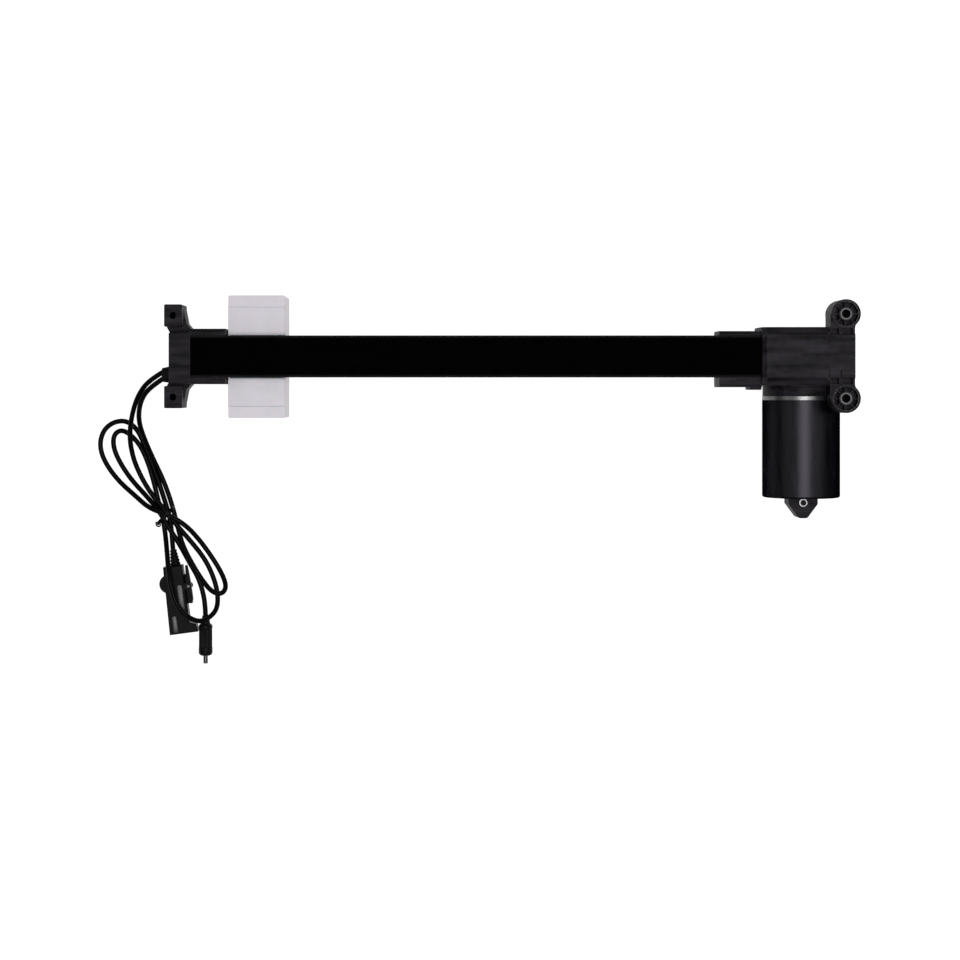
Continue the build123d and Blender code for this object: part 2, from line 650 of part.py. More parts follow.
with BuildPart() as brush_springs:
    for side in (1, -1):
        start_x = MOTOR_X + side * (COMMUTATOR_R + 0.1 + BRUSH_LENGTH)
        seat = Plane((start_x, BRUSH_TOP_Y - BRUSH_DEPTH / 2, MOTOR_Z), z_dir=(side, 0, 0))
        with BuildSketch(seat):
            Circle(2.0)
            Circle(1.3, mode=Mode.SUBTRACT)
        extrude(amount=SPRING_LENGTH)
write(brush_springs, "brush_springs")

write(tube(motor_plane(REAR_BUSH_TOP_Y), BUSH_R, SHAFT_R + RUNNING_GAP, BUSH_LENGTH), "motor_rear_bush")

# ---------------------------------------------------------------- moulded tail cap and its spring clip
CLIP_Y = -111.4
CLIP_R = 3.2
CLIP_HEIGHT = 1.2

with BuildPart() as motor_tail_cap:
    with BuildSketch(Plane.XY.offset(MOTOR_Z - TAIL_HALF_THICK)):
        with BuildLine():
            Polyline(
                (MOTOR_X - TAIL_HALF, CAN_END_Y),
                (MOTOR_X + TAIL_HALF, CAN_END_Y),
                (MOTOR_X + TAIL_HALF, TAIL_SHOULDER_Y),
                (MOTOR_X + TAIL_TIP_R, TAIL_TIP_Y),
                (MOTOR_X - TAIL_TIP_R, TAIL_TIP_Y),
                (MOTOR_X - TAIL_HALF, TAIL_SHOULDER_Y),
                close=True,
            )
        tail = make_face()
        fillet(tail.vertices().group_by(Axis.Y)[0], radius=2.6)
    extrude(amount=2 * TAIL_HALF_THICK)
    with BuildSketch(motor_plane(CAN_END_Y + 1)):
        Circle(BUSH_R)
    extrude(amount=4.4, mode=Mode.SUBTRACT)
write(motor_tail_cap, "motor_tail_cap")

with BuildPart() as tail_clip:
    with BuildSketch(Plane((MOTOR_X, CLIP_Y, MOTOR_Z + TAIL_HALF_THICK))):
        Circle(CLIP_R)
        Circle(CLIP_R - 1.1, mode=Mode.SUBTRACT)
    extrude(amount=CLIP_HEIGHT)
write(tail_clip, "tail_clip")

# ---------------------------------------------------------------- front bracket
FRONT_BUSH_R = 6.5
FRONT_BUSH_X = -503.0

with BuildPart() as front_bracket:
    with BuildSketch(across(BRACKET_FRONT_X)):
        with Locations(((BRACKET_UPPER_Y + BRACKET_LOWER_Y) / 2, (BRACKET_TOP_Z + BRACKET_BACK_Z) / 2)):
            RectangleRounded(BRACKET_UPPER_Y - BRACKET_LOWER_Y, BRACKET_TOP_Z - BRACKET_BACK_Z, 1.5)
    extrude(amount=BRACKET_REAR_X - BRACKET_FRONT_X)
    # tapered gussets and square pads of the two ears
    with BuildSketch(Plane.XY.offset(EAR_BACK_Z)):
        for side in (1, -1):
            with BuildLine():
                Polyline(
                    (EAR_X - EAR_LENGTH / 2, side * (EAR_SPREAD + EAR_WIDTH / 2)),
                    (GUSSET_TIP_X, side * (EAR_SPREAD + EAR_WIDTH / 2)),
                    (GUSSET_KNEE_X, side * GUSSET_KNEE_Y),
                    (BRACKET_REAR_X, side * GUSSET_ROOT_Y),
                    (BRACKET_REAR_X, side * GUSSET_INNER_Y),
                    (BRACKET_FRONT_X, side * GUSSET_INNER_Y),
                    (BRACKET_FRONT_X, side * GUSSET_WAIST_Y),
                    (EAR_X - EAR_LENGTH / 2, side * GUSSET_SHOULDER_Y),
                    close=True,
                )
            make_face()
    extrude(amount=GUSSET_TOP_Z - EAR_BACK_Z)
    with BuildSketch(Plane.XY.offset(EAR_BACK_Z)):
        with Locations((EAR_X, EAR_SPREAD), (EAR_X, -EAR_SPREAD)):
            RectangleRounded(EAR_LENGTH, EAR_WIDTH, 1.0)
    extrude(amount=EAR_TOP_Z - EAR_BACK_Z)
    chamfer(front_bracket.faces().filter_by(Axis.Z).sort_by(Axis.Z)[-2:].edges(), length=1.0)
    # sleeve around the sides and the back of the rail
    with BuildSketch(across(BRACKET_REAR_X - 1)):
        with Locations((0, (SLEEVE_TOP_Z + CHEEK_BACK_Z) / 2)):
            RectangleRounded(2 * SLEEVE_HALF, SLEEVE_TOP_Z - CHEEK_BACK_Z, 2.0)
    extrude(amount=SLEEVE_REAR_X - BRACKET_REAR_X + 1)
    with BuildSketch(Plane.XY.offset(EAR_FLOOR_Z)):
        with Locations((EAR_X, EAR_SPREAD), (EAR_X, -EAR_SPREAD)):
            Circle(EAR_HOLE_R)
    extrude(amount=EAR_TOP_Z - EAR_FLOOR_Z, mode=Mode.SUBTRACT)
    # pocket for the rail and seat for the bush
    with BuildSketch(across(RAIL_FRONT_X)):
        RectangleRounded(RAIL_WIDTH + 2 * RAIL_FIT, RAIL_HEIGHT + 2 * RAIL_FIT, RAIL_CORNER + RAIL_FIT)
    extrude(amount=SLEEVE_REAR_X - RAIL_FRONT_X, mode=Mode.SUBTRACT)
    with BuildSketch(across(FRONT_BUSH_X)):
        Circle(FRONT_BUSH_R)
    extrude(amount=RAIL_FRONT_X - FRONT_BUSH_X, mode=Mode.SUBTRACT)
write(front_bracket, "front_bracket")

write(
    tube(across(FRONT_BUSH_X), FRONT_BUSH_R, SCREW_JOURNAL_R + RUNNING_GAP, RAIL_FRONT_X - FRONT_BUSH_X),
    "front_bush",
)

# ---------------------------------------------------------------- carriage
CELL_TOP_Z = CARRIAGE_TOP_Z - 4.0
SADDLE_Z = -RAIL_HEIGHT / 2 - CARRIAGE_GAP
SIDE_INNER = RAIL_WIDTH / 2 + CARRIAGE_GAP
NECK_FRONT_X = -452.0
NECK_REAR_X = -432.0
NECK_HALF = RAIL_SLOT / 2 - 0.4
NUT_HALF = 13.2
NUT_BACK_Z = -10.4
NUT_TOP_Z = 7.5
NUT_BORE_R = SCREW_CREST_R + 0.35
NUT_CORNER = 4.5
NUT_SCREWS_X = (NECK_FRONT_X + 4, NECK_REAR_X - 4)
NUT_SCREW_R = 2.0
NUT_SCREW_HEAD_R = 3.6
NUT_SCREW_HEAD = 3.0
NUT_SCREW_SEAT_Z = SADDLE_Z - 7.0
NUT_SCREW_END_Z = NUT_BACK_Z + 3.0
CELL_Y = (38.6, 24.7)  # middles across of the two rows of cells
CELL_WIDTHS = (10.0, 11.0)
SADDLE_CELL_WIDTH = 32.0
SADDLE_CELL_LENGTH = CARRIAGE_REAR_X - CARRIAGE_FRONT_X - 2 * CARRIAGE_WALL
CARRIAGE_MIDDLE_X = (CARRIAGE_FRONT_X + CARRIAGE_REAR_X) / 2
CARRIAGE_LENGTH = CARRIAGE_REAR_X - CARRIAGE_FRONT_X

with BuildPart() as carriage_block:
    with BuildSketch(across(CARRIAGE_FRONT_X)):
        with BuildLine():
            Polyline(
                (-CARRIAGE_HALF, REST_Z),
                (CARRIAGE_HALF, REST_Z),
                (CARRIAGE_HALF, CARRIAGE_TOP_Z - CARRIAGE_BAND_DROP),
                (CARRIAGE_HALF - CARRIAGE_BAND, CARRIAGE_TOP_Z - CARRIAGE_BAND_DROP),
                (CARRIAGE_HALF - CARRIAGE_BAND, CARRIAGE_TOP_Z),
                (SIDE_INNER, CARRIAGE_TOP_Z),
                (SIDE_INNER, SADDLE_Z),
                (-SIDE_INNER, SADDLE_Z),
                (-SIDE_INNER, CARRIAGE_TOP_Z),
                (-CARRIAGE_HALF + CARRIAGE_BAND, CARRIAGE_TOP_Z),
                (-CARRIAGE_HALF + CARRIAGE_BAND, CARRIAGE_TOP_Z - CARRIAGE_BAND_DROP),
                (-CARRIAGE_HALF, CARRIAGE_TOP_Z - CARRIAGE_BAND_DROP),
                close=True,
            )
        make_face()
    extrude(amount=CARRIAGE_LENGTH)
    fillet(carriage_block.edges().filter_by(Axis.Z), radius=1.2)
    # moulded cells, open at the back
    cell_length = (CARRIAGE_LENGTH - 3 * CARRIAGE_WALL) / 2
    with BuildSketch(Plane.XY.offset(REST_Z)):
        for cell_y, cell_width in zip(CELL_Y, CELL_WIDTHS):
            with Locations((CARRIAGE_MIDDLE_X, cell_y), (CARRIAGE_MIDDLE_X, -cell_y)):
                with GridLocations(cell_length + CARRIAGE_WALL, 0, 2, 1):
                    RectangleRounded(cell_length, cell_width, 1.0)
    extrude(amount=CELL_TOP_Z - REST_Z, mode=Mode.SUBTRACT)
    with BuildSketch(Plane.XY.offset(REST_Z)):
        with Locations((CARRIAGE_MIDDLE_X, 0)):
            RectangleRounded(SADDLE_CELL_LENGTH, SADDLE_CELL_WIDTH, 1.0)
    extrude(amount=NUT_SCREW_SEAT_Z - REST_Z, mode=Mode.SUBTRACT)
    # tube for the pivot pin, and the neck that reaches the nut through the slot
    with BuildSketch(Plane.XZ.offset(-CARRIAGE_HALF)):
        with Locations((CARRIAGE_MIDDLE_X, PIVOT_Z)):
            Circle(PIVOT_BOSS_R)
    extrude(amount=2 * CARRIAGE_HALF)
    with BuildSketch(Plane.XZ.offset(-CARRIAGE_HALF)):
        with Locations((CARRIAGE_MIDDLE_X, PIVOT_Z)):
            Circle(PIVOT_BORE_R)
    extrude(amount=2 * CARRIAGE_HALF, mode=Mode.SUBTRACT)
    with BuildSketch(Plane.XY.offset(SADDLE_Z - 1)):
        with Locations(((NECK_FRONT_X + NECK_REAR_X) / 2, 0)):
            Rectangle(NECK_REAR_X - NECK_FRONT_X, 2 * NECK_HALF)
    extrude(amount=NUT_BACK_Z - SADDLE_Z + 1)
    with BuildSketch(Plane.XY.offset(NUT_SCREW_SEAT_Z)):
        with Locations(*[(x, 0) for x in NUT_SCREWS_X]):
            Circle(NUT_SCREW_R)
    extrude(amount=NUT_BACK_Z - NUT_SCREW_SEAT_Z, mode=Mode.SUBTRACT)
write(carriage_block, "carriage_block")

with BuildPart() as spindle_nut:
    with BuildSketch(across(NUT_FRONT_X)):
        with BuildLine():
            Polyline(
                (-NUT_HALF, NUT_BACK_Z),
                (NUT_HALF, NUT_BACK_Z),
                (NUT_HALF, NUT_TOP_Z - NUT_CORNER),
                (NUT_HALF - NUT_CORNER, NUT_TOP_Z),
                (-NUT_HALF + NUT_CORNER, NUT_TOP_Z),
                (-NUT_HALF, NUT_TOP_Z - NUT_CORNER),
                close=True,
            )
        make_face()
        Circle(NUT_BORE_R, mode=Mode.SUBTRACT)
    extrude(amount=NUT_REAR_X - NUT_FRONT_X)
    with BuildSketch(Plane.XY.offset(NUT_BACK_Z)):
        with Locations(*[(x, 0) for x in NUT_SCREWS_X]):
            Circle(NUT_SCREW_R)
    extrude(amount=NUT_SCREW_END_Z - NUT_BACK_Z, mode=Mode.SUBTRACT)
write(spindle_nut, "spindle_nut")

with BuildPart() as nut_screws:
    for x in NUT_SCREWS_X:
        seat = Plane((x, 0, NUT_SCREW_SEAT_Z))
        nut_screw_length = NUT_SCREW_END_Z - NUT_SCREW_SEAT_Z
        nut_screw = screw(seat, NUT_SCREW_R, nut_screw_length, NUT_SCREW_HEAD_R, NUT_SCREW_HEAD)
        add(nut_screw.part)
write(nut_screws, "nut_screws")

# ---------------------------------------------------------------- limit switches at the ends of the travel
SWITCH_LENGTH = 12.0
SWITCH_WIDTH = 11.0
SWITCH_BACK_Z = 6.6
SWITCH_TOP_Z = RAIL_HEIGHT / 2 - RAIL_WALL
PLUNGER_R = 1.2
PLUNGER_OUT = 2.0
PLUNGER_IN = 4.0
PLUNGER_GAP = 0.4
PLUNGER_Z = 8.5


def limit_switch(name, tip_x, direction):
    """A small switch under the roof of the rail, its plunger reaching tip_x along the travel."""
    body_x = tip_x + direction * PLUNGER_OUT
    with BuildPart() as body:
        with BuildSketch(across(body_x)):
            with Locations((0, (SWITCH_BACK_Z + SWITCH_TOP_Z) / 2)):
                Rectangle(SWITCH_WIDTH, SWITCH_TOP_Z - SWITCH_BACK_Z)
        extrude(amount=direction * SWITCH_LENGTH)
        with BuildSketch(across(body_x)):
            with Locations((0, PLUNGER_Z)):
                Circle(PLUNGER_R + RUNNING_GAP)
        extrude(amount=direction * (PLUNGER_IN + 2.0), mode=Mode.SUBTRACT)
    write(body, f"limit_switch_{name}")
    with BuildPart() as plunger:
        with BuildSketch(across(tip_x)):
            with Locations((0, PLUNGER_Z)):
                Circle(PLUNGER_R)
        extrude(amount=direction * (PLUNGER_OUT + PLUNGER_IN))
    write(plunger, f"switch_plunger_{name}")


limit_switch("front", NUT_FRONT_X - PLUNGER_GAP, -1)
limit_switch("rear", NUT_REAR_X + TRAVEL + PLUNGER_GAP, 1)

with BuildPart() as rail_wires:
    with BuildSketch(across(RAIL_FRONT_X + 4)):
        with Locations((12.2, 9.5), (-12.2, 9.5), (-12.2, 7.6)):
            Circle(0.8)
    extrude(amount=RAIL_REAR_X - RAIL_FRONT_X - 6)
write(rail_wires, "rail_wires")

# ---------------------------------------------------------------- cords, gland, tie
CONTROL_ROUTE = [
    (-512.5, -11.0, -10.0),
    (-524.5, -17.5, -12.0),
    (-534.5, -29.5, -21.0),
    (-541.0, -45.0, -33.0),
    (-544.0, -62.5, -41.0),
    (-541.5, -79.0, -45.0),
    (-535.5, -93.5, -47.0),
    (-528.0, -106.0, -47.0),
    (-518.0, -118.0, -46.5),
    (-508.0, -130.5, -46.5),
    (-497.5, -143.0, -49.0),
    (-488.0, -156.5, -51.5),
    (-481.0, -170.5, -51.5),
    (-477.0, -184.5, -51.5),
    (-477.5, -196.0, -49.0),
    (-482.5, -203.0, -44.5),
    (-489.5, -205.5, -40.0),
    (-498.5, -201.0, -35.5),
    (-506.5, -192.0, -34.0),
    (-510.5, -179.0, -34.0),
    (-513.0, -164.5, -36.0),
    (-515.0, -152.0, -43.5),
    (-517.0, -140.0, -50.5),
    (-519.0, -126.0, -50.5),
    (-523.5, -109.5, -51.5),
    (-528.5, -94.5, -51.5),
    (-534.5, -79.0, -51.5),
    (-540.5, -67.0, -51.5),
    (-546.5, -58.5, -51.5),
    (-553.0, -56.5, -51.5),
    (-558.0, -61.0, -51.5),
    (-558.0, -70.5, -51.5),
    (-553.0, -82.0, -51.5),
    (-544.0, -95.5, -51.5),
    (-533.0, -107.0, -50.0),
    (-522.0, -119.0, -46.5),
    (-514.5, -132.0, -46.5),
    (-507.0, -145.5, -47.5),
    (-500.5, -159.0, -51.5),
    (-493.0, -171.5, -51.5),
    (-488.5, -183.0, -51.5),
    (-486.0, -194.0, -50.5),
    (-485.5, -204.0, -48.0),
]
POWER_ROUTE = [
    (-512.5, -16.0, -10.0),
    (-522.5, -23.0, -12.0),
    (-529.5, -33.5, -21.0),
    (-533.5, -48.5, -33.0),
    (-531.5, -64.0, -42.0),
    (-526.0, -79.5, -48.0),
    (-519.0, -95.5, -51.5),
    (-514.0, -109.0, -51.0),
    (-510.5, -120.5, -50.5),
    (-507.5, -133.0, -51.0),
    (-501.5, -147.0, -51.5),
    (-493.5, -160.5, -51.5),
    (-486.0, -173.0, -48.0),
    (-479.5, -182.0, -44.5),
    (-472.5, -184.5, -44.5),
    (-469.0, -179.0, -47.5),
    (-471.5, -169.0, -51.0),
    (-479.0, -155.0, -51.5),
    (-488.5, -141.5, -49.0),
    (-499.0, -129.0, -44.0),
    (-512.0, -119.5, -42.0),
    (-525.5, -115.0, -42.5),
    (-540.5, -108.0, -48.5),
    (-555.0, -95.5, -51.5),
    (-565.5, -80.5, -51.5),
    (-569.0, -68.0, -51.5),
    (-566.0, -57.0, -51.5),
    (-558.5, -50.5, -51.5),
    (-548.5, -49.0, -51.5),
    (-540.0, -55.0, -51.5),
    (-534.0, -67.0, -51.5),
    (-529.0, -80.0, -51.5),
    (-523.5, -94.5, -51.5),
    (-518.5, -109.5, -51.0),
    (-514.5, -122.0, -50.5),
    (-512.5, -134.5, -51.5),
    (-512.0, -143.5, -51.5),
    (-511.0, -151.5, -50.0),
]
cord("control_cord", CONTROL_ROUTE)
cord("power_cord", POWER_ROUTE)

GLAND_Y = -13.5
GLAND_Z = -10.0
GLAND_LENGTH = 8.0

with BuildPart() as cable_gland:
    gland_root = (BRACKET_FRONT_X, GLAND_Y, GLAND_Z)
    gland_mouth = (BRACKET_FRONT_X - GLAND_LENGTH, GLAND_Y - 0.3, GLAND_Z)
    with BuildSketch(Plane(gland_root, x_dir=(0, 1, 0), z_dir=(-1, 0, 0))):
        SlotOverall(13.5, 8.0)
    with BuildSketch(Plane(gland_mouth, x_dir=(0, 1, 0), z_dir=(-1, 0, 0))):
        SlotOverall(10.5, 5.4)
    loft()
write(cable_gland, "cable_gland")

TIE_CENTRE = (-516.6, -123.4, -46.6)
TIE_DIRECTION = (0.72, -0.69, 0)
TIE_SPAN = 19.0
TIE_HEIGHT = 13.6
TIE_WIDTH = 2.4
TIE_THICK = 0.7
with BuildPart() as cable_tie:
    with BuildSketch(Plane(origin=TIE_CENTRE, x_dir=(0.69, 0.72, 0), z_dir=TIE_DIRECTION)):
        SlotOverall(TIE_SPAN, TIE_HEIGHT)
        SlotOverall(TIE_SPAN - 2 * TIE_THICK, TIE_HEIGHT - 2 * TIE_THICK, mode=Mode.SUBTRACT)
    extrude(amount=TIE_WIDTH / 2, both=True)
write(cable_tie, "cable_tie")

# ---------------------------------------------------------------- connector at the end of the power cord
CONNECTOR_TILT = 7.6
CONNECTOR_X = -508.9
CONNECTOR_Y = -162.2
connector_plane = Plane((CONNECTOR_X, CONNECTOR_Y, REST_Z)).rotated((0, 0, CONNECTOR_TILT))
CONNECTOR_LEFT = -9.4
CONNECTOR_STEP_Y = -45.0
CONNECTOR_SIDE = 5.6
CONNECTOR_END_LEFT = -11.0
CONNECTOR_END_RIGHT = 11.0
SOCKET_DEPTH = 15.0
SOCKET_WIDTH = 12.0
SOCKET_MIDDLE = -1.9
SOCKET_HEIGHT = 7.6
BULGE_R = 7.4
LEVER_X = 8.4
LEVER_Y = -17.0
LEVER_GAP_Z = 2.8
LEVER_LOW = 4.4
LEVER_TOP_INNER = 2.0  # gap beside the pressed end, for the stroke
LEVER_HOOK_INNER = 0.5
LEVER_OUTER = 4.7
LEVER_TOP_Y = -0.8
LEVER_END_Y = -31.0
SHELF_WIDTH = 3.6
SHELF_TOP_Y = -8.0
SHELF_HEIGHT = 2.8
PIN_R = 1.0
RIDGE_HEIGHT = 0.8


def connector_at(height):
    """The connector's plane raised by a height: its own -y runs along the connector, towards the socket."""
    return connector_plane.offset(height)


with BuildPart() as connector_body:
    with BuildSketch(connector_at(0)):
        with BuildLine():
            Polyline(
                (CONNECTOR_LEFT, 0),
                (CONNECTOR_SIDE, 0),
                (CONNECTOR_SIDE, CONNECTOR_STEP_Y),
                (CONNECTOR_END_RIGHT - 0.6, CONNECTOR_STEP_Y - 2),
                (CONNECTOR_END_RIGHT, -CONNECTOR_LENGTH),
                (CONNECTOR_END_LEFT, -CONNECTOR_LENGTH),
                close=True,
            )
        make_face()
    extrude(amount=CONNECTOR_THICK - RIDGE_HEIGHT)
    chamfer(connector_body.faces().sort_by(Axis.Z)[-1].edges(), length=0.8)
    with BuildSketch(connector_at(2)):
        with Locations((CONNECTOR_LEFT - 4.7 + BULGE_R, -13.5)):
            Circle(BULGE_R)
    extrude(amount=CONNECTOR_THICK - RIDGE_HEIGHT - 4)
    with BuildSketch(connector_at(CONNECTOR_THICK - RIDGE_HEIGHT)):
        with Locations((1.6, -26)):
            RectangleRounded(3.0, 22.0, 1.0)
        with Locations((-5.4, -45)):
            RectangleRounded(2.4, 13.0, 1.0)
    extrude(amount=RIDGE_HEIGHT)
    with BuildSketch(connector_at(0)):
        with Locations((CONNECTOR_SIDE - 1, SHELF_TOP_Y)):
            Rectangle(SHELF_WIDTH + 1, SHELF_TOP_Y - LEVER_END_Y, align=(Align.MIN, Align.MAX))
        with Locations((LEVER_X, LEVER_Y)):
            Circle(PIN_R, mode=Mode.SUBTRACT)
    extrude(amount=SHELF_HEIGHT)
    for low in (0, CONNECTOR_THICK - RIDGE_HEIGHT - LEVER_GAP_Z):
        with BuildSketch(connector_at(low)):
            with Locations(((CONNECTOR_SIDE + LEVER_X) / 2, LEVER_Y)):
                Rectangle(LEVER_X - CONNECTOR_SIDE + 1, 5.0)
            with Locations((LEVER_X, LEVER_Y)):
                Circle(2.5)
                Circle(PIN_R, mode=Mode.SUBTRACT)
        extrude(amount=LEVER_GAP_Z)
    socket_middle = Vector(SOCKET_MIDDLE, -CONNECTOR_LENGTH, 0)
    socket_mouth = Plane(
        origin=connector_at(CONNECTOR_THICK / 2 - 0.4).from_local_coords(socket_middle),
        x_dir=connector_plane.x_dir,
        z_dir=connector_plane.y_dir,
    )
    with BuildSketch(socket_mouth):
        RectangleRounded(SOCKET_WIDTH, SOCKET_HEIGHT, 1.2)
    extrude(amount=SOCKET_DEPTH, mode=Mode.SUBTRACT)
write(connector_body, "connector_body")

with BuildPart() as connector_contacts:
    with BuildSketch(socket_mouth.offset(3)):
        with Locations((-4.6, 0), (4.6, 0)):
            Rectangle(0.9, 3.2)
    extrude(amount=SOCKET_DEPTH - 3)
write(connector_contacts, "connector_contacts")

with BuildPart() as latch_lever:
    with BuildSketch(connector_at(LEVER_LOW)):
        with BuildLine():
            Polyline(
                (CONNECTOR_SIDE + LEVER_TOP_INNER, LEVER_TOP_Y),
                (CONNECTOR_SIDE + LEVER_TOP_INNER + 1.5, LEVER_TOP_Y),
                (CONNECTOR_SIDE + LEVER_OUTER - 0.6, LEVER_TOP_Y - 5),
                (CONNECTOR_SIDE + LEVER_OUTER, LEVER_Y),
                (CONNECTOR_SIDE + LEVER_OUTER, LEVER_END_Y + 3),
                (CONNECTOR_SIDE + LEVER_OUTER - 1.5, LEVER_END_Y),
                (CONNECTOR_SIDE + LEVER_HOOK_INNER, LEVER_END_Y + 2),
                (CONNECTOR_SIDE + LEVER_HOOK_INNER, LEVER_Y - 2),
                close=True,
            )
        make_face()
        with Locations((LEVER_X, LEVER_Y)):
            Circle(2.2)
            Circle(PIN_R + RUNNING_GAP, mode=Mode.SUBTRACT)
    extrude(amount=CONNECTOR_THICK - RIDGE_HEIGHT - LEVER_GAP_Z - 0.3 - LEVER_LOW)
write(latch_lever, "latch_lever")

with BuildPart() as latch_pin:
    with BuildSketch(connector_at(0)):
        with Locations((LEVER_X, LEVER_Y)):
            Circle(PIN_R)
    extrude(amount=CONNECTOR_THICK - RIDGE_HEIGHT)
write(latch_pin, "latch_pin")


def taper(label, start, end, start_r, end_r):
    """A tapered strain relief from one point to another."""
    along = Vector(*end) - Vector(*start)
    with BuildPart() as piece:
        with BuildSketch(Plane(origin=start, z_dir=along)):
            Circle(start_r)
        with BuildSketch(Plane(origin=end, z_dir=along)):
            Circle(end_r)
        loft()
    write(piece, label)


taper("connector_relief", (-511.1, -150.0, -50.4), (-508.9, -162.2, -48.2), 2.6, 4.2)

# ---------------------------------------------------------------- barrel plug at the end of the control cord
PLUG_X = -485.5
PLUG_TOP_Y = -207.4
PLUG_END_Y = -232.3
PLUG_TIP_Y = -238.6
PLUG_Z = REST_Z + PLUG_R


def plug_plane(y):
    """The plane square to the barrel plug at y; extrusions go towards its tip."""
    return Plane(origin=(PLUG_X, y, PLUG_Z), x_dir=(1, 0, 0), z_dir=(0, -1, 0))


with BuildPart() as plug_body:
    with BuildSketch(plug_plane(PLUG_TOP_Y)):
        Circle(PLUG_R)
    extrude(amount=PLUG_TOP_Y - PLUG_END_Y)
    chamfer(plug_body.edges().filter_by(GeomType.CIRCLE), length=1.6)
write(plug_body, "plug_body")

write(tube(plug_plane(PLUG_END_Y), PLUG_TIP_R, 0.6, PLUG_END_Y - PLUG_TIP_Y), "plug_tip")
taper("plug_relief", (PLUG_X, PLUG_TOP_Y + 6.0, PLUG_Z), (PLUG_X, PLUG_TOP_Y, PLUG_Z), 2.6, 3.6)
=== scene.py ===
"""Looks of the recliner linear actuator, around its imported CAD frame. Metres throughout."""

import json
import math

import bmesh
import bpy
from mathutils import Matrix, Vector


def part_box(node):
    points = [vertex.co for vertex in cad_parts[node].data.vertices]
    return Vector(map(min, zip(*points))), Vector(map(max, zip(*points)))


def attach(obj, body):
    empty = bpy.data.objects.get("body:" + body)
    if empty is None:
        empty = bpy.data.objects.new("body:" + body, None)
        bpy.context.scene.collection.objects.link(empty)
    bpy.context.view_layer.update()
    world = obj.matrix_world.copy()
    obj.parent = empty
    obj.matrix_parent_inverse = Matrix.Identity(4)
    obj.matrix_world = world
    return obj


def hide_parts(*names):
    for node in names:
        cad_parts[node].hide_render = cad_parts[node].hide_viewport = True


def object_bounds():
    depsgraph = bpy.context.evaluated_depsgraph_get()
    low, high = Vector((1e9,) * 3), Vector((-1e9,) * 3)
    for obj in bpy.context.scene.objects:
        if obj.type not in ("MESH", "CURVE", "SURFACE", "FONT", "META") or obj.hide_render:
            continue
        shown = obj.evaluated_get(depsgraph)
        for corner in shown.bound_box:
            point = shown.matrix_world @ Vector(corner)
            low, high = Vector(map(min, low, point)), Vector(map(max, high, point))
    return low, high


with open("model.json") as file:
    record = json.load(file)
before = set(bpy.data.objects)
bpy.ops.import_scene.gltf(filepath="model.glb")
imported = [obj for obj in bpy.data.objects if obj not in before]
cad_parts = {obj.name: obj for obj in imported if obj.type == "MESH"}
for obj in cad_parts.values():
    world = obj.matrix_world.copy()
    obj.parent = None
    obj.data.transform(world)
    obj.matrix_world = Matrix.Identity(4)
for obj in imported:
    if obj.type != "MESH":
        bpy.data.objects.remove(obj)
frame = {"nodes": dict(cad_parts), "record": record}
NODES = frame["nodes"]
CAD_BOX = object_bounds()
MM = 0.001

# ---------------------------------------------------------------- camera
RAIL_FACE_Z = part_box("guide_rail")[1][2]
CAMERA_X = -0.3103
CAMERA_Y = -0.0251
CAMERA_DISTANCE = 1.5
LENS = 75
SHIFT_X = 0.052
SHIFT_Y = -0.094


def make_camera():
    """Straight above the actuator, as in a catalogue picture."""
    data = bpy.data.cameras.new("camera")
    data.lens = LENS
    data.shift_x = SHIFT_X
    data.shift_y = SHIFT_Y
    camera = bpy.data.objects.new("camera", data)
    camera.location = (CAMERA_X, CAMERA_Y, RAIL_FACE_Z + CAMERA_DISTANCE)
    bpy.context.scene.collection.objects.link(camera)
    bpy.context.scene.camera = camera


make_camera()

# ---------------------------------------------------------------- materials
NOISE_ROUGHNESS = 0.55
NOISE_LOW = 0.3  # a noise is seldom below this
NOISE_HIGH = 0.7  # or above this
BEVEL_SAMPLES = 4
EDGE_STARTS_COS = 0.995  # cosine of the turn of the normal where an edge begins
EDGE_FULL_COS = 0.85
SOFT_EDGE = 0.4 * MM
CAN_PEEL = 1.4 * MM
RAIL_PEEL = 1.6 * MM
DUST_SIZE = 9 * MM
METAL_GRAIN = 0.5 * MM


